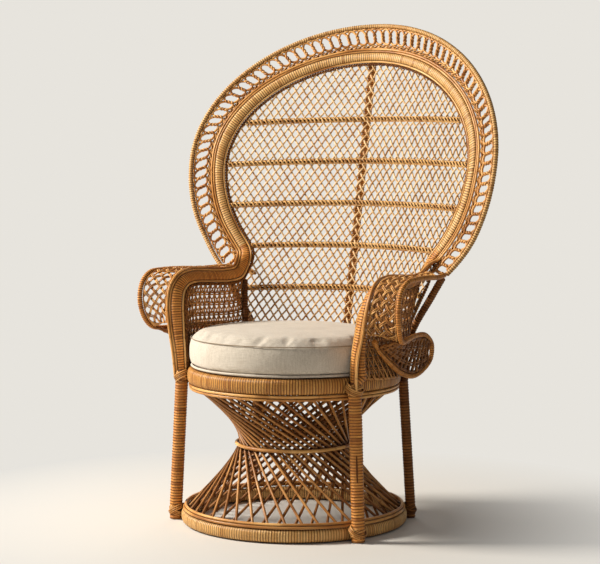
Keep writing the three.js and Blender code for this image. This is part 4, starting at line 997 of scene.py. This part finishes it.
def add_bands():
    """Level bands: dark canes at the back, and light twine woven over them from edge to edge."""
    level, half = inner_edge_table(BAND_INSET)
    for i in range(ROD_COUNT):
        middle = ROD_TOP - ROD_PITCH * i
        reach = float(np.interp(middle, level, half)) - BAND_INSET
        x = np.linspace(-reach, reach, int(reach * 2 / BAND_STEP))
        line = lambda off, lift: fan(x, middle + off - ROD_BOW * (x / FAN_HALF) ** 2, lift)
        rods = [cane(*line(off, ROD_LIFT), ROD) for off in ROD_LEVELS]
        twine = [cane(*line(off, EDGE_TWINE_LIFT), EDGE_TWINE) for off in EDGE_TWINE_LEVELS]
        for phase in (0.0, math.pi):
            turn = 2 * math.pi * x / LATTICE_PITCH_X + phase
            way = line(TWINE_HIGH * np.sin(turn), TWINE_LIFT + TWINE_DEEP * np.cos(turn))
            twine.append(cane(*way, TWINE, 6))
        build(f"cross_rods_{i + 1}", rods, cane_brown, replaces=[f"cross_rod_{i + 1}"])
        build(f"cross_twine_{i + 1}", twine, cane_pale, replaces=[f"cross_braid_{i + 1}"])


def add_spine():
    z = np.linspace(LATTICE_FOOT - 3, SPINE_TOP, 260)
    at, back = fan(np.zeros_like(z), z, SPINE_LIFT)
    part = wound(at, back, ellipse(SPINE_WIDE / 2, SPINE_THICK / 2, 16, BAND_POWER), pitch=SPINE_PITCH)
    build("spine_wound", [part], wrap_amber, replaces=["spine"])


# Arms: parts of the arm band's and the arm rim's runs that the weaves hang between, as shares of them
ARM_RIM_START = fan(*oval(RIM, RIM_END))[0] + np.array([CLEAR, -ARM_RIM_CANE, -CLEAR])
ARM_RIM_POINTS = np.array([ARM_RIM_START, *arm_place(ARM_RIM_SHARES, ARM_RIM_SPREAD)])
ROLL_BAND_SHARES, ROLL_RIM_SHARES = (0.235, 0.82), (0.05, 0.43)
LOBE_TOP_SHARES, LOBE_FOOT_SHARES = (0.42, 0.60), (0.97, 0.72)
PANEL_TOP_SHARES, PANEL_FRONT_SHARES = (0.255, 0.60), (0.60, 0.985)
PANEL_LOW, PANEL_FOOT_ANGLES, PANEL_FOOT_RADII = 422.0, (29.0, -26.5), (310.4, 318.0)
ROLL_ACROSS, ROLL_DEPTH, ROLL_GAPS, LOBE_GAP = CLEAR + PIPING_PAIR - 2.0, 3.5, (1.5, 10.8), 10.0
ROLL_CROWN, ROLL_EDGE_SHARES, ROLL_END_SHARES = 5.0, (0.012, 0.988), (0.005, 0.995)
ARM_UPWARD = np.array([0.0, -0.6, 0.8])
WEAVE_STEP, WEAVE_SHORTEST = 4.0, 6.0
RIBBON_PITCH, RIBBON_STEEP, RIBBON_SPACING, RIBBON_CANE, RIBBON_SWING = 37.0, 1.25, 4.5, 4.3, 2.6
BORDER_CANE, STAKE_SWING, SLANT_LIFT = 4.6, 1.2, 2.4


def arm_rim_line(shares):
    return curve(ARM_RIM_POINTS, shares)


def beside_arm(shares, across, depth):
    """A line beside the arm band: beyond its outer edge if across is positive, else its inner edge."""
    at, wide, back, half = ARM_STATIONS
    reach = half + across if across > 0 else across - half
    return curve(at + wide * reach[:, None] + back * depth, shares)


def inner_line(share):
    return beside_arm(share, -(CLEAR + PIPING - 0.4), 0.0)


def hung(top_line, foot_line, gap_top, gap_foot, crown):
    """A surface from a top line to a foot line: a function of shares u along them and v between them."""
    def at(u, v):
        top, foot = top_line(u), foot_line(u)
        span = np.linalg.norm(foot - top, axis=1, keepdims=True)
        v = v[:, None]
        share = (gap_top + v * (span - gap_top - gap_foot)) / np.maximum(span, 1)
        return top + (foot - top) * share + crown * np.sin(math.pi * v)
    return at


def patch(top, foot, back_edge, front_edge):
    """A surface held by four lines: u runs from the back edge to the front edge, v from top to foot."""
    corners = [line(np.array([end]))[0] for line in (top, foot) for end in (0.0, 1.0)]

    def at(u, v):
        s, t = u[:, None], v[:, None]
        flat = mix(mix(corners[0], corners[1], s), mix(corners[2], corners[3], s), t)
        return mix(top(u), foot(u), t) + mix(back_edge(v), front_edge(v), s) - flat
    return at


def panel_front(share):
    """The panel's front edge along the arm, from its top to its foot, at equal steps of height."""
    along = np.linspace(*PANEL_FRONT_SHARES, 60)
    level = inner_line(along)[:, 2]
    return inner_line(np.interp(mix(level[0], level[-1], share), level[::-1], along[::-1]))


def panel_foot(share):
    return polar(mix(*PANEL_FOOT_ANGLES, share), mix(*PANEL_FOOT_RADII, share), PANEL_LOW)


ROLL = hung(lambda u: beside_arm(mix(*ROLL_BAND_SHARES, u), ROLL_ACROSS, ROLL_DEPTH),
            lambda u: arm_rim_line(mix(*ROLL_RIM_SHARES, u)), *ROLL_GAPS, ROLL_CROWN * ARM_UPWARD)
LOBE = hung(lambda u: arm_rim_line(mix(*LOBE_TOP_SHARES, u)),
            lambda u: arm_rim_line(mix(*LOBE_FOOT_SHARES, u)), LOBE_GAP, LOBE_GAP, np.zeros(3))
INNER = patch(lambda u: inner_line(mix(*PANEL_TOP_SHARES, u)), panel_foot,
              lambda v: mix(inner_line(PANEL_TOP_SHARES[:1])[0], panel_foot(0.0), v[:, None]), panel_front)


def strand_on(surf, u, v, lift, size, flip):
    """A cane along places on a surface, none where it would be too short."""
    e = 0.01
    along = surf(np.clip(u + e, 0, 1), v) - surf(np.clip(u - e, 0, 1), v)
    down = surf(u, np.clip(v + e, 0, 1)) - surf(u, np.clip(v - e, 0, 1))
    normal = unit(np.cross(down, along))
    at = flipped(surf(u, v) + normal * np.reshape(lift, (-1, 1)), flip)
    if len(at) < 2 or lengths(at)[-1] < WEAVE_SHORTEST:
        return []
    return [cane(at, flipped(normal, flip), size, 6, step=WEAVE_STEP)]


def ribbon_way(start, slope_at, steps=24):
    """Places along a surface of a line that crosses it, followed both ways from its middle."""
    ways = []
    for ahead in (-1, 1):
        place, way = start, []
        for _ in range(steps):
            way.append(place)
            place += ahead * slope_at(place) * 0.5 / (steps - 1)
        ways.append(way)
    return np.array(ways[0][:0:-1] + ways[1])


def roll_parts(flip):
    """Ribbons of two canes in an open diagonal weave from the band to the arm's rim, and edge canes."""
    u = np.linspace(0, 1, 81)
    top, middle, foot = (ROLL(u, np.full_like(u, v)) for v in (0, 0.5, 1))
    run = lengths(middle)[-1]
    lean = np.sum((foot - top) * tangents(middle), 1)
    deep = np.sqrt(np.maximum(np.sum((foot - top) ** 2, 1) - lean ** 2, 1))
    parts = []
    for hand in (1, -1):
        slope = lambda at: (hand * RIBBON_STEEP * np.interp(at, u, deep) - np.interp(at, u, lean)) / run
        for k in range(-4, int(run / RIBBON_PITCH) + 5):
            for side in (-0.5, 0.5):
                off = side * RIBBON_SPACING * math.hypot(1, RIBBON_STEEP)
                place = ribbon_way(((k + 0.5) * RIBBON_PITCH + off) / run, slope)
                keep = (place >= 0) & (place <= 1)
                if keep.sum() < 4:
                    continue
                place, v = place[keep], np.linspace(0, 1, len(place))[keep]
                turn = 2 * math.pi * RIBBON_STEEP * (v - 0.5) * np.interp(place, u, deep) / RIBBON_PITCH
                parts += strand_on(ROLL, place, v, hand * RIBBON_SWING * np.cos(turn), RIBBON_CANE, flip)
    ends = np.linspace(0, 1, 90)
    for v in ROLL_EDGE_SHARES:
        parts += strand_on(ROLL, ends, np.full_like(ends, v), 0.0, BORDER_CANE, flip)
    for u in ROLL_END_SHARES:
        parts += strand_on(ROLL, np.full_like(ends, u), ends, 0.0, BORDER_CANE, flip)
    return parts


def webbing(surf, flip, columns, rows, stake, strip, slant, double_share):
    """Cane webbing: stakes and doubled level strips, with slanting strips through their crossings."""
    parts = []
    down, along = np.linspace(0, 1, rows * 6), np.linspace(0, 1, columns * 7)
    for k in range(columns + 1):
        lift = STAKE_SWING * np.cos(math.pi * (down * rows + k))
        parts += strand_on(surf, np.full_like(down, k / columns), down, lift, stake, flip)
    for k in range(rows + 1):
        lift = -STAKE_SWING * np.cos(math.pi * (along * columns + k))
        for off in (-double_share, double_share):
            level = np.clip(np.full_like(along, (k + off) / rows), 0, 1)
            parts += strand_on(surf, along, level, lift, strip, flip)
    for hand in (1, -1) if slant else ():
        for k in range(-rows, columns + rows + 1):
            u = (k + hand * rows * down) / columns
            keep = (u >= 0) & (u <= 1)
            if keep.sum() > 5:
                parts += strand_on(surf, u[keep], down[keep], SLANT_LIFT * hand, slant, flip)
    return parts


def add_arms():
    path = arm_rim_line(np.linspace(0, 1, 500))
    section = ellipse(ARM_RIM_CANE / 2, ARM_RIM_CANE / 2, 12)

    def rim_parts(flip):
        line = flipped(path, flip)
        back = unit(ARM_UPWARD + tangents(line)[:, ::-1] * 0.01)
        return [wound(line, back, section, pitch=ARM_RIM_PITCH)]
    pair("arm_rim_wound", rim_parts, wrap_amber, "arm_rim")
    pair("arm_roll_canes", roll_parts, cane_gold, "arm_roll")
    inner_parts = lambda flip: webbing(INNER, flip, columns=15, rows=8, stake=5.6, strip=4.8, slant=4.4,
                                       double_share=0.1)
    lobe_parts = lambda flip: webbing(LOBE, flip, columns=13, rows=4, stake=9.0, strip=6.5, slant=0,
                                      double_share=0.15)
    pair("arm_inner_webbing", inner_parts, cane_amber, "arm_inner_panel")
    pair("arm_side_weave", lobe_parts, cane_brown, "arm_side_panel")


# Lashings
TIE_CANE, TIE_CLEAR, TIE_CROSS, TIE_SINK, TIE_LEAN_SHARE = 4.8, 3.8, 1.2, -3.0, 0.55
FRONT_KNOT_LEVEL = 416.0


def tie_turns(centre, axis, radius, turns):
    """Turns of thin cane round a leaning axis."""
    axis = unit(axis)
    one = unit(np.cross(axis, UP))
    t = np.linspace(0, turns, turns * 20 + 1)[:, None]
    out = one * np.cos(t * 2 * math.pi) + np.cross(axis, one) * np.sin(t * 2 * math.pi)
    at = centre + out * radius + axis * (t - turns / 2) * TIE_CANE * 1.02
    return cane(at, unit(out), TIE_CANE, 5)


def add_lashings():
    front, rear = (front_leg_point, FRONT_LEG), (rear_leg_point, REAR_LEG)
    for name, (line, size), angle, level, turns, material in (
            ("front_foot_tie", front, FRONT_LEG_ANGLE, FOOT_TIE_LEVEL, 3, cane_gold),
            ("rear_foot_tie", rear, REAR_LEG_ANGLE, FOOT_TIE_LEVEL, 3, cane_brown),
            ("front_knot", front, FRONT_LEG_ANGLE, FRONT_KNOT_LEVEL, 4, cane_gold),
            ("rear_knot", rear, REAR_LEG_TOP_ANGLE, KNOT_LEVEL, 4, cane_brown)):
        centre = line(np.array([level]))[0] + polar(angle, TIE_SINK)
        crossed = lambda flip: [
            tie_turns(flipped(centre, flip), flipped(np.array([TIE_LEAN_SHARE * hand, 0.0, 1.0]), flip),
                      size / 2 + TIE_CLEAR + TIE_CROSS * hand, turns) for hand in (1, -1)]
        pair(f"{name}_turns", crossed, material, name)


# Cushion: its profile as shares of its radius and of its height
CUSHION_RADIUS, CUSHION_BACK, CUSHION_HIGH, CUSHION_COVER_RADIUS = 301.4, 258.0, 113.0, 304.0
CUSHION_SHARES = np.array([[0.93, 0], [0.965, 0.05], [0.985, 0.085], [0.99, 0.13], [0.998, 0.25],
                           [1, 0.42], [0.995, 0.6], [0.985, 0.69], [0.985, 0.74], [0.96, 0.8],
                           [0.84, 0.88], [0.6, 0.955], [0.28, 0.995]])
CUSHION_CORNERS, CUSHION_SHRINK, CUSHION_SHRINK_HIGH = 96, 5.0, 3.0
# Where the outline's round front passes into its flatter back: the sine of the angle
FLAT_START, FLAT_END = 0.25, 0.8
# What the remesh and the cap of the cloth's movement read, in metres
VOXEL, CLOTH_CAP = 0.0062, 0.012
CUSHION_SEAT = SEAT_TOP + CLEAR
# Seams: share of the height, size, distance off the cover
PIPING_SHARES, SEAM_SHARES, SEAM_REACH, SEAM_BINS = (0.055, 7.0, 0.6), (0.76, 2.6, 0.1), 7, 72


def cushion_shell():
    """The cushion's starting form, a little smaller than the solid: cap, wall and crown."""
    angle = np.arange(CUSHION_CORNERS) * 360 / CUSHION_CORNERS
    to_back = (np.sin(np.radians(angle)) - FLAT_START) / (FLAT_END - FLAT_START)
    outline = mix(CUSHION_RADIUS, CUSHION_BACK, smooth(to_back))
    low, span = CUSHION_SEAT + CUSHION_SHRINK_HIGH, CUSHION_HIGH - 2 * CUSHION_SHRINK_HIGH
    rings = [polar(angle, outline * reach - CUSHION_SHRINK, low + span * rise)
             for reach, rise in CUSHION_SHARES]
    high = CUSHION_SEAT + CUSHION_HIGH - CUSHION_SHRINK_HIGH
    corners = np.concatenate(rings + [[[0, 0, low], [0, 0, high]]])
    m, n = CUSHION_CORNERS, len(rings)
    faces = [(i * m + j, i * m + (j + 1) % m, (i + 1) * m + (j + 1) % m, (i + 1) * m + j)
             for i in range(n - 1) for j in range(m)]
    faces += [(n * m, (j + 1) % m, j) for j in range(m)]
    faces += [(n * m + 1, (n - 1) * m + j, (n - 1) * m + (j + 1) % m) for j in range(m)]
    return corners, faces


def read_points(piece):
    points = np.empty(len(piece.data.vertices) * 3)
    piece.data.vertices.foreach_get("co", points)
    return points.reshape(-1, 3)


def write_points(piece, points):
    piece.data.vertices.foreach_set("co", points.ravel())


def apply_all(piece):
    made = bpy.data.meshes.new_from_object(piece.evaluated_get(bpy.context.evaluated_depsgraph_get()))
    piece.modifiers.clear()
    piece.data = made


def soften(cover):
    """Fills the cover like a cloth bag under pressure, no point moving further than the cap."""
    remesh = cover.modifiers.new("remesh", "REMESH")
    remesh.mode = "VOXEL"
    remesh.voxel_size = VOXEL
    apply_all(cover)
    start = read_points(cover)
    settings = cover.modifiers.new("cloth", "CLOTH").settings
    settings.use_pressure = True
    settings.uniform_pressure_force = 4.0
    settings.effector_weights.gravity = 0.0
    settings.quality = 6
    settings.mass = 0.35
    settings.tension_stiffness = 12
    settings.compression_stiffness = 12
    settings.bending_stiffness = 1.2
    for number in range(1, 21):
        bpy.context.scene.frame_set(number)
    apply_all(cover)
    bpy.context.scene.frame_set(1)
    shift = read_points(cover) - start
    size = np.linalg.norm(shift, axis=1, keepdims=True)
    write_points(cover, start + shift * np.minimum(1, CLOTH_CAP / np.maximum(size, 1e-9)))
    smoother = cover.modifiers.new("subdivision", "SUBSURF")
    smoother.levels = smoother.render_levels = 1
    apply_all(cover)


def refit(cover):
    """Brings the softened cover back to the width that it was cut to."""
    points = read_points(cover)
    grown = CUSHION_COVER_RADIUS * MM / np.abs(points[:, 0]).max()
    points[:, 0] *= grown
    points[:, 1] = AXIS_Y + (points[:, 1] - AXIS_Y) * grown
    write_points(cover, points)


def add_cushion():
    cover = new_piece("cushion_cover", *cushion_shell(), linen)
    soften(cover)
    refit(cover)
    cover.data.shade_smooth()
    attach(cover, "cushion")
    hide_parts("cushion")
    add_seam("cushion_piping", cover, PIPING_SHARES, linen)
    add_seam("cushion_top_seam", cover, SEAM_SHARES, seam_shade)


def cover_reach(cover, level):
    """The cover's own outline at a height, from the axis, at every angle."""
    points = read_points(cover) / MM
    points[:, 1] -= AXIS_Y / MM
    x, y = points[np.abs(points[:, 2] - level) < SEAM_REACH][:, :2].T
    radius = np.hypot(x, y)
    step = 360 / SEAM_BINS
    bins = (np.degrees(np.arctan2(y, x)) % 360 / step).astype(int) % SEAM_BINS
    reach = np.array([radius[bins == b].max() if (bins == b).any() else 0 for b in range(SEAM_BINS)])
    middles = np.arange(-1, SEAM_BINS + 2) * step + step / 2
    return lambda angle: np.interp(angle, middles, np.concatenate([[reach[-1]], reach, reach[:2]]))


def add_seam(name, cover, seam_shares, material):
    """Piping or a stitched seam that follows the cover at one height."""
    share, size, off = seam_shares
    angle = np.arange(240) * 1.5
    level = CUSHION_SEAT + CUSHION_HIGH * share
    at = polar(angle, cover_reach(cover, level)(angle) + off, level)
    build(name, [cane(at, outward(at), size, closed=True)], material, body="cushion")


# Floor, light and world, in metres
BACKDROP, FLOOR = (0.80, 0.775, 0.725, 1), (0.72, 0.69, 0.64, 1)
ROOM, ROOM_STRENGTH = (1.0, 0.985, 0.96, 1), 0.185
FLOOR_RADIUS, FLOOR_LEVEL, FADE_START, FADE_END = 9.0, -0.001, 0.45, 1.25
LIGHT_TARGET = 0.8
# Lights: place from the chair's axis, size, power in watts and colour
LIGHTS = {
    "key": ((-3.9, -2.0, 3.4), 1.2, 465, (1.0, 0.95, 0.875)),
    "fill": ((1.6, -4.0, 1.6), 2.4, 8, (1.0, 0.97, 0.93)),
    "back": ((-1.6, 2.8, 2.6), 1.8, 24, (1.0, 0.97, 0.93)),
}


def end_with(graph, output, fac, first, second):
    """Makes a mix of two shaders the whole of a material or world."""
    out = graph.add(output)
    both = graph.add("MixShader", {0: fac, 1: first.outputs[0], 2: second.outputs[0]})
    graph.feed(out.inputs["Surface"], both.outputs[0])


def floor_material():
    """A matte floor that takes shadows near the chair and fades into the plain backdrop."""
    material = bpy.data.materials.new("studio_floor")
    graph = Graph(material)
    graph.tree.nodes.clear()
    matte = graph.add("BsdfDiffuse", Color=FLOOR)
    plain = graph.add("Emission", Color=BACKDROP, Strength=1.0)
    x, y, _ = graph.axes(graph.position())
    deep = graph.math("SUBTRACT", y, AXIS_Y)
    reach = graph.math("SQRT", graph.math("ADD", graph.times(x, x), graph.times(deep, deep)))
    path = graph.add("LightPath").outputs
    seen = graph.math("MAXIMUM", path["Is Camera Ray"], path["Is Glossy Ray"])
    seen = graph.math("MAXIMUM", seen, path["Is Transmission Ray"])
    fade = graph.times(graph.span(reach, FADE_START, FADE_END), seen)
    end_with(graph, "OutputMaterial", fade, matte, plain)
    return material


def add_floor():
    mesh = bpy.data.meshes.new("studio_floor")
    edit = bmesh.new()
    bmesh.ops.create_circle(edit, cap_ends=True, segments=96, radius=FLOOR_RADIUS)
    edit.to_mesh(mesh)
    edit.free()
    mesh.materials.append(floor_material())
    piece = bpy.data.objects.new("studio_floor", mesh)
    bpy.context.scene.collection.objects.link(piece)
    piece.location = (0, AXIS_Y, FLOOR_LEVEL)


def add_world():
    world = bpy.data.worlds.new("studio")
    bpy.context.scene.world = world
    graph = Graph(world)
    graph.tree.nodes.clear()
    room = graph.add("Background", Color=ROOM, Strength=ROOM_STRENGTH)
    plain = graph.add("Background", Color=BACKDROP, Strength=1.0)
    end_with(graph, "OutputWorld", graph.add("LightPath").outputs["Is Camera Ray"], room, plain)


def add_lights():
    for name, ((x, y, z), size, power, colour) in LIGHTS.items():
        data = bpy.data.lights.new(name, "AREA")
        data.size = size
        data.energy = power
        data.color = colour
        lamp = bpy.data.objects.new(name, data)
        bpy.context.scene.collection.objects.link(lamp)
        place = Vector((x, y + AXIS_Y, z))
        lamp.location = place
        lamp.rotation_euler = (Vector((0, AXIS_Y, LIGHT_TARGET)) - place).to_track_quat("-Z", "Y").to_euler()


add_base()
add_deck()
add_cage()
add_legs()
add_split()
add_band()
add_elbows()
add_pipings()
add_rim()
add_border()
add_lattice()
add_lattice_edges()
add_bands()
add_spine()
add_arms()
add_lashings()
add_cushion()
add_camera()
add_floor()
add_world()
add_lights()
bpy.context.scene.view_settings.view_transform = "Standard"
